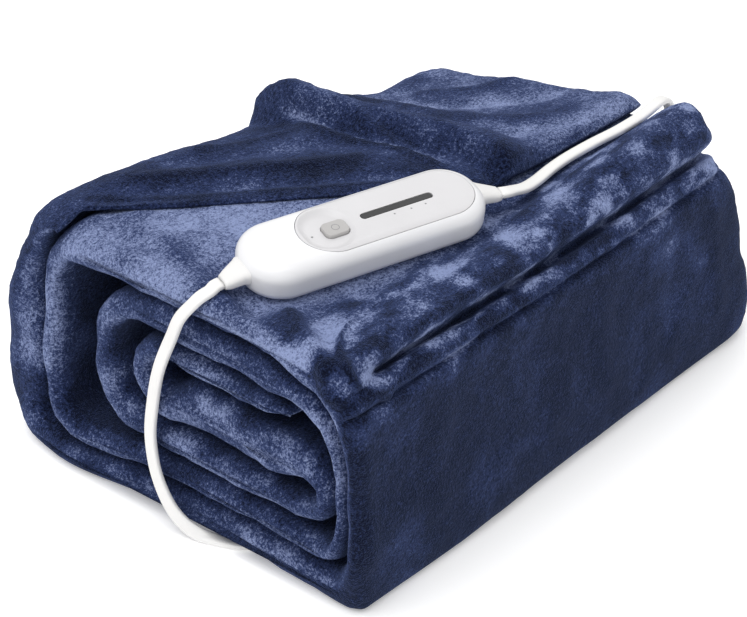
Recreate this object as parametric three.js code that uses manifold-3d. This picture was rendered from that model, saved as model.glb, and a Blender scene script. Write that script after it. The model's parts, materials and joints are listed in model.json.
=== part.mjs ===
// Electric heated throw, folded into a bundle, with its hand controller and cords.
// Millimetres, +Z up. The bundle's long side runs along X, its open end faces -X,
// its plain long face looks towards -Y, and it stands on Z = 0.

import * as THREE from 'three';
import { mergeVertices } from 'three/addons/utils/BufferGeometryUtils.js';
import Module from 'manifold-3d';

const wasm = await Module();
wasm.setup();

// ---------------------------------------------------------------- driving dimensions

// The bundle frame: X from the open end, Y from the front face, Z from the floor.
// BUNDLE_CENTRE is the point of the floor under the middle of blanket and controller.
const BUNDLE_CENTRE = { x: 163.7, y: 118.3 };

const BUNDLE = {
  footLength: 345,      // length along the floor
  topLength: 304,       // shortest length, at the top layers
  endLean: 41,          // how far the far end leans in by leanHeight
  leanHeight: 125,
  endOut: 7,            // how far the open end stands out all over
  endSkew: 11,          // and how much more its low back corner does
  layerGap: 0.8,        // air between the lid and the layer under it
  softLeft: 9,          // rounding of each layer at the open end
  softRight: 14,        // and at the far end
  pinchLength: 30,      // stretch over which the whole far end draws in
  pinchWidth: 0.06,     // share of its width that it draws in
  pinchHeight: 0.02,    // and of its height
  widthCentre: 120,
};

// The top of the uppermost full layer, on which controller and lid lie.
const TOP_LAYER = {
  height: 139,
  backRise: 2.5,        // towards the back
  farRise: 2,           // towards the far end
  underside: 125,
  valleyDepth: 5,       // shallow trough along the front, behind the rolled edge
  valleyLoss: 0.1,      // and the share it loses past the controller
  valleyY: 43,
  valleyWidth: 15,
  rollNear: 2,          // height of the rolled front edge at the open end
  rollGain: 12,         // and what it gains towards the far end
  rollY: 12,
  rollShift: 10,        // how far its crest moves back towards the far end
  rollWidth: 13,
};

// The lid: the strip's last length, turned over the back onto the top layer.
const LID = {
  tipFront: 55,         // where its front edge lies over the far half
  tipStart: 203,        // its edge runs slantwise across the near half
  tipSlope: 0.86,
  tipBack: 190,
  hemY: 196,
  farLift: 1,           // more air under it over the far half
  thinEdge: 2.2,        // thickness at the slanting edge
  thinBody: 5,
  fullBody: 9,          // thickness over the far half
  fullGain: 2,
  cuffHeight: 8,        // turned-over corner that stands on the lid
  cuffFull: 13,         // width at full height
  cuffEnd: 36,          // where it has run out into the lid
};

// The back of the far half lies lower than its front.
const SLUMP = { start: 150, end: 255, frontY: 40, backY: 190, share: 0.225 };

// Along the back hem the bundle's top edge sinks before the turned-over corner.
const HEM = {
  rise: 2.5, riseEnd: 80,           // a little higher next to the open end
  corner: 7, cornerEnd: 20,         // but rounded down right at it
  sink: 10, sinkStart: 75, sinkEnd: 150,
  cuffStart: 155, cuffEnd: 162,     // and up again in one step at the corner's hem
  fromY: 158, toY: 196, fromZ: 90, toZ: 135,
};

// The front's top edge with its tucks climbs towards the far end.
const CLIMB = { start: 150, end: 290, height: 5, fromZ: 60 };

// Its far end is drawn in a little, and its foot stands out along the near half.
const FRONT_END = { draw: 6, depthY: 42, fromZ: 95, toZ: 125 };
const FOOT = { out: 2.5, x: 68, width: 50, depthY: 20, height: 45 };

// A small arch in the open end's lower rim, through which the loop cord runs in.
const ARCH = { height: 4.6, from: 50, to: 98, slope: 10, start: 18, end: 28 };

// Hand controller: a long box with round ends, lying slantwise on the top layer.
const CONTROLLER = {
  x: 82.7, y: 67.5, z: 147.5,
  yaw: -17.4, pitch: 1.6, roll: 11.8,    // degrees
  length: 133.5, width: 43.3, height: 19.1,
  cornerRadius: 20, topRadius: 8, footRadius: 5.5,
  seatGap: 1.1, seatFade: 16, seatEdge: 6,
};

// What is set into the controller, in the controller's own frame (x along it, z up).
const FACE = {
  centreX: 12.5, length: 97, width: 34, thickness: 2.6,
  scoopX: -22, scoopDepth: 0.9, scoopRadius: 120,
};
const BUTTON = { x: -16.5, y: -0.7, length: 13, width: 10, corner: 3, below: 0.1, height: 3.4, travel: 1 };
const WINDOW = { x: 18.7, y: 0.3, length: 40.5, width: 3.8, corner: 1.6, below: 0.1, height: 1.4 };
const GAP = 0.3;        // air between pieces that are fitted together

// Flat cord: width and thickness.
const CORD = { width: 7, thickness: 3.6 };

// Tapered strain reliefs: place along the controller, width and height, and how far
// they bend towards the front and down.
const RELIEF_NEAR = [
  { x: -57.5, width: 17, height: 9, side: 0, drop: 0 },
  { x: -67, width: 16.5, height: 9, side: 0, drop: 0 },
  { x: -68.5, width: 14.5, height: 8.2, side: -0.2, drop: 0.1 },
  { x: -75.5, width: 11, height: 6.4, side: -2.2, drop: 0.4 },
  { x: -78.5, width: 9, height: 5.4, side: -2.6, drop: 0.6 },
];
const RELIEF_MAINS = [
  { x: 57.2, width: 16, height: 9, side: 0, drop: 0 },
  { x: 67, width: 15.5, height: 8.8, side: 0, drop: 0 },
  { x: 68.5, width: 13.5, height: 7.8, side: -0.2, drop: 0.2 },
  { x: 75.5, width: 10.5, height: 6.2, side: -1.9, drop: 1.6 },
  { x: 78.5, width: 9, height: 5.4, side: -2.3, drop: 1.9 },
];

// The mains lead's spare length lies in a flat coil behind the far end.
const COIL = { x: 397, y: 150, inner: 31.9, outer: 44.5, bottom: 1.65, height: 14.5 };
const TIE = { angle: -20, width: 7, thickness: 1 };
const PLUG = {
  x: 397, y: 236, z: 8, length: 30, width: 24, height: 15, neck: 10,
  bladeLength: 16, bladeWidth: 6.4, bladeThickness: 1.5, bladePitch: 12.7, bladeRoot: 3,
};

const COLOURS = {
  plush: 0x26335a,
  shell: 0xf2f1ef,
  plate: 0xe2e0df,
  button: 0xcac7c4,
  window: 0x222224,
  cord: 0xf0efed,
  brass: 0xb9b2a0,
};

// ---------------------------------------------------------------- small helpers

const clamp01 = (v) => Math.min(1, Math.max(0, v));

/** Smooth step from 0 at `from` to 1 at `to`. */
function smooth(from, to, v) {
  const t = clamp01((v - from) / (to - from));
  return t * t * (3 - 2 * t);
}

/** Bell curve of height 1 about `centre`. */
function bell(v, centre, width) {
  return Math.exp(-(((v - centre) / width) ** 2));
}

const mix = (a, b, t) => a + (b - a) * t;
const radians = (degrees) => (degrees * Math.PI) / 180;

/** A named mesh with its own material. */
function part(name, geometry, colour, roughness = 0.5, metalness = 0) {
  const material = new THREE.MeshStandardMaterial({ color: colour, roughness, metalness });
  const mesh = new THREE.Mesh(geometry, material);
  mesh.name = name;
  return mesh;
}

/** A geometry as a manifold solid, with only positions kept. */
function solid(geometry) {
  const bare = geometry.clone();
  for (const name of Object.keys(bare.attributes)) {
    if (name !== 'position') bare.deleteAttribute(name);
  }
  const merged = mergeVertices(bare, 1e-4);
  return new wasm.Manifold(new wasm.Mesh({
    numProp: 3,
    vertProperties: new Float32Array(merged.attributes.position.array),
    triVerts: new Uint32Array(merged.index.array),
  }));
}

/** A manifold solid back as a geometry. */
function geometryOf(manifold) {
  const mesh = manifold.getMesh();
  const geometry = new THREE.BufferGeometry();
  geometry.setAttribute('position', new THREE.BufferAttribute(new Float32Array(mesh.vertProperties), 3));
  geometry.setIndex(new THREE.BufferAttribute(new Uint32Array(mesh.triVerts), 1));
  geometry.computeVertexNormals();
  return geometry;
}

/** Cap for rings that are simple outlines in the plane that `flatten` gives. */
function flatCap(flatten) {
  return (ring) => THREE.ShapeUtils.triangulateShape(ring.map(flatten), []).map(([a, b, c]) => [a, c, b]);
}

/** Cap for rings that go up one side of a folded strip and down the other. */
function stripCap(ring) {
  const last = ring.length - 1;
  const faces = [];
  for (let i = 0; i < ring.length / 2 - 1; i += 1) {
    const [a, b, c, d] = [i, i + 1, last - i - 1, last - i];
    const split = ring[a].distanceTo(ring[c]) < ring[b].distanceTo(ring[d]);
    faces.push(...(split ? [[a, b, c], [a, c, d]] : [[a, b, d], [b, c, d]]));
  }
  return faces;
}

/** A closed skin through rings of equal point count, each clockwise about its heading. */
function loft(rings, cap) {
  const count = rings[0].length;
  const positions = rings.flat().flatMap((p) => [p.x, p.y, p.z]);
  const index = [];
  for (let ring = 0; ring < rings.length - 1; ring += 1) {
    for (let i = 0; i < count; i += 1) {
      const a = ring * count + i;
      const b = ring * count + ((i + 1) % count);
      index.push(a, a + count, b, b, a + count, b + count);
    }
  }
  for (const end of [0, rings.length - 1]) {
    const start = end * count;
    for (const [a, b, c] of cap(rings[end])) {
      if (end === 0) index.push(start + a, start + b, start + c);
      else index.push(start + a, start + c, start + b);
    }
  }
  const geometry = new THREE.BufferGeometry();
  geometry.setAttribute('position', new THREE.Float32BufferAttribute(positions, 3));
  geometry.setIndex(index);
  return geometry;
}

// ---------------------------------------------------------------- controller pose

const controllerTurn = new THREE.Matrix4()
  .makeRotationZ(radians(CONTROLLER.yaw))
  .multiply(new THREE.Matrix4().makeRotationY(radians(-CONTROLLER.pitch)))
  .multiply(new THREE.Matrix4().makeRotationX(radians(CONTROLLER.roll)));
const controllerCentre = new THREE.Vector3(CONTROLLER.x, CONTROLLER.y, CONTROLLER.z);

/** A point of the controller's own frame, in the bundle frame. */
function fromController(x, y, z) {
  return new THREE.Vector3(x, y, z).applyMatrix4(controllerTurn).add(controllerCentre);
}

const seatNormal = new THREE.Vector3(0, 0, 1).applyMatrix4(controllerTurn);
const seatPoint = fromController(0, 0, -CONTROLLER.height / 2 - CONTROLLER.seatGap);
const controllerBack = controllerTurn.clone().invert();

/** Height of the seat plane under the controller, and how strongly it shapes the cloth. */
function controllerSeat(x, y) {
  const along = (x - seatPoint.x) * seatNormal.x + (y - seatPoint.y) * seatNormal.y;
  const z = seatPoint.z - along / seatNormal.z;
  const local = new THREE.Vector3(x, y, z).sub(controllerCentre).applyMatrix4(controllerBack);
  const outX = Math.abs(local.x) - (CONTROLLER.length - CONTROLLER.seatEdge) / 2;
  const outY = Math.abs(local.y) - (CONTROLLER.width - CONTROLLER.seatEdge) / 2;
  const away = Math.hypot(Math.max(0, outX), Math.max(0, outY));
  return { z, weight: 1 - smooth(0, CONTROLLER.seatFade, away) };
}

// ---------------------------------------------------------------- top of the bundle

/** Upper face of the top layer, before the slump. */
function topLayer(x, y) {
  const roll = TOP_LAYER.rollNear + TOP_LAYER.rollGain * (Math.max(0, x) / 300) ** 1.5;
  const rollY = TOP_LAYER.rollY + TOP_LAYER.rollShift * smooth(120, 290, x);
  const valley = TOP_LAYER.valleyDepth * smooth(10, 45, x) * (1 - TOP_LAYER.valleyLoss * smooth(150, 200, x));
  const free = TOP_LAYER.height
    + TOP_LAYER.backRise * smooth(60, 110, y)
    + TOP_LAYER.farRise * smooth(150, 250, x)
    - valley * bell(y, TOP_LAYER.valleyY, TOP_LAYER.valleyWidth)
    + roll * bell(y, rollY, TOP_LAYER.rollWidth) * smooth(0, 22, x);
  const seat = controllerSeat(x, y);
  return mix(free, seat.z, seat.weight);
}

/** The lid's edge, towards the front. */
function lidTip(x) {
  return Math.min(LID.tipBack, Math.max(LID.tipFront, LID.tipStart - LID.tipSlope * x));
}

/** Where the turned-over corner's hem crosses the lid. */
function cuffEdge(y) {
  return 160 + 22 * smooth(180, 82, y) - 9 * smooth(72, 50, y);
}

/** Height of the turned-over corner over the lid: steep at its hem, long on the far side. */
function cuffHeight(x, y) {
  const past = x - cuffEdge(y);
  return LID.cuffHeight * smooth(0, 6, past) * (1 - smooth(LID.cuffFull, LID.cuffEnd, past));
}

/** Thickness of the lid. */
function lidThickness(x, y) {
  const full = smooth(0, 8, x - cuffEdge(y));
  const thin = mix(LID.thinEdge, LID.thinBody, smooth(0, 40, y - lidTip(x)));
  const body = LID.fullBody + LID.fullGain * smooth(80, 190, y);
  return mix(thin, body, full) + cuffHeight(x, y);
}

/** Share by which the slump lowers a point. */
function slump(x, y) {
  const back = clamp01((y - SLUMP.frontY) / (SLUMP.backY - SLUMP.frontY));
  return SLUMP.share * back * smooth(SLUMP.start, SLUMP.end, x);
}

// ---------------------------------------------------------------- the folded strip

// Each row is one place on the strip's middle line, in the open end's plane:
// y, z, then the cloth on its outer and inner side, then the steps to the next row.
const COLUMNS = ['y', 'z', 'outer', 'inner', 'steps'];
const rows = (...table) => table.map((row) => Object.fromEntries(row.map((v, i) => [COLUMNS[i], v])));

const BACK = rows(
  [208, 135, 7, 6, 1],
  [213, 124, 7, 6, 1],
  [220.5, 110, 8, 7, 1],
  [226, 93, 10, 9.5, 1],
  [229.5, 74, 14, 13.5, 1],
  [230, 48, 17, 15.5, 1],
  [229, 27, 16.5, 14, 2],
  [221, 13, 15, 9, 2],
);
const BOTTOM = rows(
  [200, 9, 9, 6.5, 1],
  [130, 9, 9, 8, 1],
  [98, 9.2, 9.2, 8.5, 1],
  [88, 9.3, 9.3, 8.8, 1],
  [74, 9.4, 9.4, 9.2, 1],
  [60, 9.5, 9.5, 9.5, 1],
  [50, 9.8, 9.8, 9.5, 1],
  [22, 10.5, 10.5, 9.5, 1],
);
const FRONT = rows(
  [3.5, 13, 14.5, 9, 1],
  [-5, 32, 5, 4.5, 1],
  [-4, 62, 4, 4, 1],
  [-3, 92, 5, 4.5, 1],
  [0, 105, 8.5, 6, 1],
);
// Two tucks run along the front's top edge, with a thin lip between them.
const TUCKS = rows(
  [1.8, 109.5, 9.3, 6.5, 1],
  [2.7, 111.6, -1.5, 7, 1],
  [3.7, 113.5, 9.7, 7.5, 1],
  [5.2, 116.3, 9.6, 8, 1],
  [7.2, 118.8, 11, 8, 1],
  [8.6, 120.3, -1, 8, 1],
  [10.2, 121.6, 13.5, 8, 1],
  [14, 124, 15, 7, 1],
);
const TOP_Y = [22, 33, 45, 57, 70, 84, 98, 116, 138, 156, 164, 173];
const FIRST_BEND = rows(
  [185, 131, 8, 6.5, 1],
  [193.5, 125, 7.5, 6.5, 1],
  [200, 115.5, 7, 6.5, 1],
  [204.5, 102, 6.5, 6.5, 1],
  [205.5, 75, 6.5, 6.5, 1],
  [205, 49, 6.5, 6.5, 1],
  [200, 34, 7, 6, 1],
);
const FIRST_BAND = rows(
  [185, 25, 7, 6.5, 1],
  [130, 26, 7, 7, 1],
  [60, 28.5, 7, 6.5, 1],
  [20, 29.3, 7, 5.5, 1],
);
const FIRST_RISE = rows(
  [10, 32, 5, 4, 1],
  [4.6, 44, 2.6, 2.6, 1],
  [4.4, 70, 2.6, 2.6, 1],
  [6, 90, 2.8, 3, 1],
  [12.5, 103, 4, 4.5, 1],
);
const SECOND_TOP = rows(
  [24, 110, 6, 6, 1],
  [42, 113.5, 8.6, 8.6, 1],
  [84, 114, 9, 9.3, 1],
  [118, 115.5, 9, 9.3, 1],
);
const SECOND_BEND = rows(
  [137, 115, 8.5, 8.5, 1],
  [151, 110, 8, 7.5, 1],
  [160.5, 99, 7.5, 7, 1],
  [164.5, 83, 7.3, 8, 1],
  [164.7, 66, 8.3, 8.5, 1],
  [160.5, 53, 8.5, 8.5, 1],
);
const SECOND_BAND = rows(
  [148, 46, 8.5, 8, 1],
  [116, 44.5, 8, 8, 1],
  [60, 46, 8, 7.5, 1],
  [34, 46.5, 7.5, 6, 1],
);
const SECOND_RISE = rows(
  [22, 49, 6.5, 4, 1],
  [16, 56, 5.5, 3, 1],
  [16.5, 66, 6, 3.5, 1],
);
const CORE = rows(
  [27, 71, 11, 8, 1],
  [46, 70.5, 13.3, 13, 1],
  [80, 70.5, 14, 13, 1],
  [106, 71, 13, 13.5, 1],
);
const LAST_BEND = rows(
  [121, 67, 6.5, 9, 1],
  [132, 71.5, 6, 8, 1],
  [137, 82, 6.3, 7.5, 1],
  [132, 92, 5.5, 7, 1],
);
const TONGUE = rows(
  [119, 96.5, 6, 6.5, 1],
  [94, 96.5, 6.5, 6.5, 1],
  [68, 97.2, 6.5, 6, 1],
  [48, 99, 4, 4, 1],
  [33, 100.5, 1.8, 1.8, 0],
);

/** Rows of the lid at one place along the bundle, from its free edge to the back hem. */
function lidRows(x) {
  const tip = lidTip(x);
  const shares = [0, 0.06, 0.2, 0.45, 0.7, 0.88, 1];
  return shares.map((share) => {
    const y = mix(tip, LID.hemY, share);
    const edge = share === 0 ? 0.35 : 1;
    const thick = lidThickness(x, y);
    const air = BUNDLE.layerGap + LID.farLift * smooth(150, 190, x);
    const z = topLayer(x, y) + air + thick / 2;
    return { y, z, outer: (thick * edge) / 2, inner: (thick * edge) / 2, steps: 1 };
  });
}

/** Rows of the top layer, from the rolled front edge to the first bend. */
function topRows(x) {
  return TOP_Y.map((y) => {
    const top = topLayer(x, y);
    const under = TOP_LAYER.underside - 6 * (1 - smooth(18, 42, y));
    return { y, z: (top + under) / 2, outer: (top - under) / 2, inner: (top - under) / 2, steps: 1 };
  });
}

/** The tucks fade out next to the open end, and rise with the rolled edge. */
function tuckRows(x) {
  const depth = smooth(-4, 16, x);
  const lift = topLayer(x, 20) - TOP_LAYER.height;
  return TUCKS.map((row, i) => {
    const crest = 0.5 * (TUCKS[Math.max(0, i - 1)].outer + TUCKS[Math.min(TUCKS.length - 1, i + 1)].outer);
    const outer = row.outer < 0 ? mix(crest - 2, row.outer, depth) : row.outer;
    const share = i / TUCKS.length;
    return { ...row, outer: outer + Math.max(0, lift) * 0.6 * share * share };
  });
}

/** The turned-over corner reaches over the back hem. */
function backRows(x) {
  const swell = cuffHeight(x, LID.hemY) / 2;
  return BACK.map((row, i) => (i === 0 ? { ...row, z: row.z + swell, outer: row.outer + swell } : row));
}

/** The lowest layer, with the arch for the cord in its underside. */
function bottomRows(x) {
  const along = 1 - smooth(ARCH.start, ARCH.end, x);
  return BOTTOM.map((row) => {
    const across = smooth(ARCH.from, ARCH.from + ARCH.slope, row.y)
      * (1 - smooth(ARCH.to - ARCH.slope, ARCH.to, row.y));
    return { ...row, outer: row.outer - ARCH.height * across * along };
  });
}

/** The strip's middle line with its thickness, as one list of rows. */
function stripRows(x) {
  return [
    ...lidRows(x), ...backRows(x), ...bottomRows(x), ...FRONT, ...tuckRows(x), ...topRows(x),
    ...FIRST_BEND, ...FIRST_BAND, ...FIRST_RISE,
    ...SECOND_TOP, ...SECOND_BEND, ...SECOND_BAND, ...SECOND_RISE,
    ...CORE, ...LAST_BEND, ...TONGUE,
  ];
}

/** Outline of the strip's section, as points of y and z, before slump and pinch. */
function stripOutline(x, soft) {
  const table = stripRows(x);
  const line = new THREE.CatmullRomCurve3(table.map((row) => new THREE.Vector3(0, row.y, row.z)), false, 'centripetal');
  const spans = table.length - 1;
  const upper = [];
  const lower = [];
  for (let i = 0; i <= spans; i += 1) {
    const steps = i === spans ? 1 : table[i].steps;
    for (let step = 0; step < steps; step += 1) {
      const part01 = step / steps;
      const t = (i + part01) / spans;
      const next = table[Math.min(i + 1, spans)];
      const at = line.getPoint(t);
      const heading = line.getTangent(t);
      const outer = mix(table[i].outer, next.outer, part01) * soft;
      const inner = mix(table[i].inner, next.inner, part01) * soft;
      upper.push({ y: at.y - heading.z * outer, z: at.z + heading.y * outer });
      lower.push({ y: at.y + heading.z * inner, z: at.z - heading.y * inner });
    }
  }
  return [...upper, ...lower.reverse()];
}

/** Length of the bundle at a height. */
function farEnd(z) {
  const lean = BUNDLE.endLean * (Math.max(0, z) / BUNDLE.leanHeight) ** 1.5;
  return Math.max(BUNDLE.topLength, BUNDLE.footLength - lean);
}

/** How far the open end sticks out at a place of the section. */
function nearEnd(y, z) {
  return -BUNDLE.endOut - BUNDLE.endSkew * bell(y, 190, 45) * (1 - smooth(0, 70, z));
}

/** How far the climb lifts a point of the front's upper part. */
function climb(x, y, z) {
  const front = 1 - smooth(14, 48, y);
  return CLIMB.height * front * smooth(CLIMB.fromZ, 118, z) * smooth(CLIMB.start, CLIMB.end, x);
}

/** How far the back hem's line lifts a point near the top back edge. */
function hemLine(x, y, z) {
  const share = smooth(HEM.fromY, HEM.toY, y) * smooth(HEM.fromZ, HEM.toZ, z);
  const rise = HEM.rise * (1 - smooth(40, HEM.riseEnd, x));
  const corner = HEM.corner * (1 - smooth(-4, HEM.cornerEnd, x));
  const sink = HEM.sink * smooth(HEM.sinkStart, HEM.sinkEnd, x) * (1 - smooth(HEM.cuffStart, HEM.cuffEnd, x));
  return share * (rise - corner - sink);
}

/** How far the front's upper part is drawn in at the far end. */
function frontDraw(y, z) {
  return FRONT_END.draw * (1 - smooth(0, FRONT_END.depthY, y)) * smooth(FRONT_END.fromZ, FRONT_END.toZ, z);
}

/** How far the foot of the front stands out. */
function footOut(x, y, z) {
  const front = 1 - smooth(0, FOOT.depthY, y);
  return FOOT.out * front * (1 - smooth(0, FOOT.height, z)) * bell(x, FOOT.x, FOOT.width);
}

/** Quarter-round share of full size at a distance from an end. */
function rounding(distance, radius, least) {
  const t = clamp01(distance / radius);
  return Math.max(least, Math.sqrt(1 - (1 - t) ** 2));
}

/** One ring of the blanket at a share of its length. */
function blanketRing(share) {
  const nominal = share * BUNDLE.topLength;
  const toNear = share * BUNDLE.topLength;
  const toFar = (1 - share) * BUNDLE.topLength;
  const soft = Math.min(rounding(toNear, BUNDLE.softLeft, 0.4), rounding(toFar, BUNDLE.softRight, 0.35));
  const pinch = 1 - rounding(toFar, BUNDLE.pinchLength, 0);
  return stripOutline(nominal, soft).map(({ y, z }) => {
    const lift = climb(nominal, y, z) + hemLine(nominal, y, z);
    const low = (z * (1 - slump(nominal, y)) + lift) * (1 - BUNDLE.pinchHeight * pinch);
    const narrow = BUNDLE.widthCentre + (y - BUNDLE.widthCentre) * (1 - BUNDLE.pinchWidth * pinch);
    const near = nearEnd(y, z);
    const far = farEnd(z) - frontDraw(y, z);
    const height = low < 0.3 ? 0 : low;
    return new THREE.Vector3(mix(near, far, share), narrow - footOut(nominal, y, z), height);
  });
}

// Places of the rings along the bundle, as millimetres of the top layer's length.
const STATIONS = [
  0, 1.6, 5, 10, 18, 28, 42, 58, 76, 94, 112, 130, 148, 158, 163, 170, 180, 194, 212, 238, 265, 282, 292, 299, 304,
];

function blanketGeometry() {
  const rings = STATIONS.map((x) => blanketRing(x / BUNDLE.topLength));
  return loft(rings, stripCap);
}

// ---------------------------------------------------------------- controller

/** Flat outline of a rectangle with rounded corners. */
function roundedRectangle(length, width, radius) {
  const x = length / 2;
  const y = width / 2;
  const r = Math.min(radius, x - 0.01, y - 0.01);
  const shape = new THREE.Shape();
  shape.moveTo(-x + r, -y);
  shape.lineTo(x - r, -y);
  shape.absarc(x - r, -y + r, r, -Math.PI / 2, 0, false);
  shape.lineTo(x, y - r);
  shape.absarc(x - r, y - r, r, 0, Math.PI / 2, false);
  shape.lineTo(-x + r, y);
  shape.absarc(-x + r, y - r, r, Math.PI / 2, Math.PI, false);
  shape.lineTo(-x, -y + r);
  shape.absarc(-x + r, -y + r, r, Math.PI, 1.5 * Math.PI, false);
  return shape;
}

/** Upright block with a rounded-rectangle plan, from `bottom` up. */
function roundedBlock(length, width, radius, bottom, height, edge = 0) {
  const geometry = new THREE.ExtrudeGeometry(roundedRectangle(length, width, radius), {
    depth: height - 2 * edge,
    bevelEnabled: edge > 0,
    bevelThickness: edge,
    bevelSize: edge,
    bevelOffset: -edge,
    bevelSegments: edge > 2 ? 5 : 2,
    curveSegments: radius > 10 ? 7 : 4,
  });
  geometry.translate(0, 0, bottom + edge);
  return geometry;
}

/** Ring of points round a flattened oval, across the controller's x axis. */
function ovalRing({ x, width, height, side = 0, drop = 0 }, grow = 0) {
  const sides = 20;
  const power = 0.7;
  const ring = [];
  for (let i = 0; i < sides; i += 1) {
    const angle = (-2 * Math.PI * (i + 0.5)) / sides;
    const c = Math.cos(angle);
    const s = Math.sin(angle);
    const y = Math.sign(c) * Math.abs(c) ** power * (width / 2 + grow) + side;
    const z = Math.sign(s) * Math.abs(s) ** power * (height / 2 + grow) - drop;
    ring.push(new THREE.Vector3(x, y, z));
  }
  return ring;
}

/** A relief from its table, running outward in +X or -X. */
function reliefGeometry(table, grow = 0) {
  const sorted = [...table].sort((a, b) => a.x - b.x);
  const rings = sorted.map((row, i) => {
    const end = i === 0 ? -grow : grow;
    const atEnd = i === 0 || i === sorted.length - 1;
    return ovalRing({ ...row, x: row.x + (atEnd ? end : 0) }, grow);
  });
  return loft(rings, flatCap((point) => new THREE.Vector2(point.y, point.z)));
}

const controllerTop = CONTROLLER.height / 2;

/** The controller's outer form: rings of a rounded rectangle, drawn in at foot and top. */
function hullGeometry() {
  const { length, width, height, cornerRadius, topRadius, footRadius } = CONTROLLER;
  const arc = [0, 18, 36, 54, 72, 90];
  const levels = [
    ...arc.map((a) => ({
      inset: footRadius * (1 - Math.sin(radians(a))),
      z: footRadius * (1 - Math.cos(radians(a))) - height / 2,
    })),
    ...arc.map((a) => ({
      inset: topRadius * (1 - Math.cos(radians(a))),
      z: height / 2 - topRadius * (1 - Math.sin(radians(a))),
    })),
  ];
  const rings = levels.map(({ inset, z }) => {
    const outline = roundedRectangle(length - 2 * inset, width - 2 * inset, cornerRadius - inset);
    return outline.getSpacedPoints(96).slice(0, -1).reverse().map((p) => new THREE.Vector3(p.x, p.y, z));
  });
  return loft(rings, flatCap((point) => new THREE.Vector2(point.x, point.y)));
}

function controllerSolids() {
  const hull = solid(hullGeometry());
  const column = (grow, depth) => {
    const block = roundedBlock(FACE.length + 2 * grow, FACE.width + 2 * grow, FACE.width, controllerTop - depth, depth + 5);
    block.translate(FACE.centreX, 0, 0);
    return solid(block);
  };
  const inset = (spec, grow, bottom, top) => {
    const corner = spec.corner + grow;
    const block = roundedBlock(spec.length + 2 * grow, spec.width + 2 * grow, corner, bottom, top - bottom);
    block.translate(spec.x, spec.y, 0);
    return solid(block);
  };
  const scoop = new THREE.SphereGeometry(FACE.scoopRadius, 96, 64);
  scoop.translate(FACE.scoopX, 0, controllerTop - FACE.scoopDepth + FACE.scoopRadius);
  const buttonTop = controllerTop - BUTTON.below;
  const buttonPocket = inset(BUTTON, GAP, buttonTop - BUTTON.height - BUTTON.travel - 0.4, controllerTop + 2);
  const windowTop = controllerTop - WINDOW.below;
  const windowPocket = inset(WINDOW, GAP, windowTop - WINDOW.height - GAP, controllerTop + 2);
  const plate = hull.intersect(column(0, FACE.thickness))
    .subtract(solid(scoop)).subtract(buttonPocket).subtract(windowPocket);
  const body = hull.subtract(column(GAP, FACE.thickness + GAP)).subtract(buttonPocket)
    .subtract(solid(reliefGeometry(RELIEF_NEAR, GAP))).subtract(solid(reliefGeometry(RELIEF_MAINS, GAP)));
  return {
    body: geometryOf(body),
    plate: geometryOf(plate),
    button: roundedBlock(BUTTON.length, BUTTON.width, BUTTON.corner, buttonTop - BUTTON.height, BUTTON.height, 0.5)
      .translate(BUTTON.x, BUTTON.y, 0),
    window: roundedBlock(WINDOW.length, WINDOW.width, WINDOW.corner, windowTop - WINDOW.height, WINDOW.height)
      .translate(WINDOW.x, WINDOW.y, 0),
  };
}

/** Sets a geometry from the controller's frame into the bundle frame. */
function placed(geometry) {
  return geometry.applyMatrix4(controllerTurn).translate(controllerCentre.x, controllerCentre.y, controllerCentre.z);
}

// ---------------------------------------------------------------- cords

// Each row of a cord: place of its middle, then the direction its width points in.
const CORD_COLUMNS = ['x', 'y', 'z', 'wx', 'wy', 'wz'];
const cordRows = (...table) => table.map((row) => Object.fromEntries(row.map((v, i) => [CORD_COLUMNS[i], v])));

/** First rows of a cord, straight out of a relief. */
function cordStart(table) {
  const [before, end] = table.slice(-2);
  const run = Math.abs(end.x - before.x);
  const across = new THREE.Vector3(0, 1, 0).applyMatrix4(controllerTurn);
  return [2.6 * GAP, 4].map((distance) => {
    const on = distance / run;
    const side = end.side + on * (end.side - before.side);
    const drop = end.drop + on * (end.drop - before.drop);
    const at = fromController(end.x + Math.sign(end.x) * distance, side, -drop);
    return { x: at.x, y: at.y, z: at.z, wx: across.x, wy: across.y, wz: across.z };
  });
}

// From the controller over the open end, down to the floor and in under the bundle.
const LOOP_CORD = [...cordStart(RELIEF_NEAR), ...cordRows(
  [-0.5, 88.2, 143.5, 0.15, 0.98, 0.1],
  [-6, 89.6, 142, 0.25, 0.95, 0.1],
  [-10, 92.4, 138.2, 0.3, 0.95, 0],
  [-11.3, 97.2, 130.6, 0.3, 0.95, 0],
  [-11.6, 105.4, 115.6, 0.2, 0.97, 0.1],
  [-11.6, 116.2, 92.2, 0.1, 1, 0.2],
  [-11.7, 122.2, 69.8, 0, 1, 0.1],
  [-13, 124.2, 48.7, 0, 1, 0],
  [-15.5, 118.2, 28.6, -0.1, 0.95, -0.3],
  [-16.2, 106.8, 12.8, -0.35, 0.75, -0.5],
  [-13.6, 95.4, 4.5, -0.7, 0.6, -0.25],
  [-8.8, 84.5, 2.1, -0.9, 0.4, 0],
  [-4, 74.5, 2, -0.85, 0.5, 0],
  [2.5, 67.5, 2, -0.75, 0.65, 0],
  [8.5, 63.8, 2, -0.6, 0.8, 0],
)];

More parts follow.
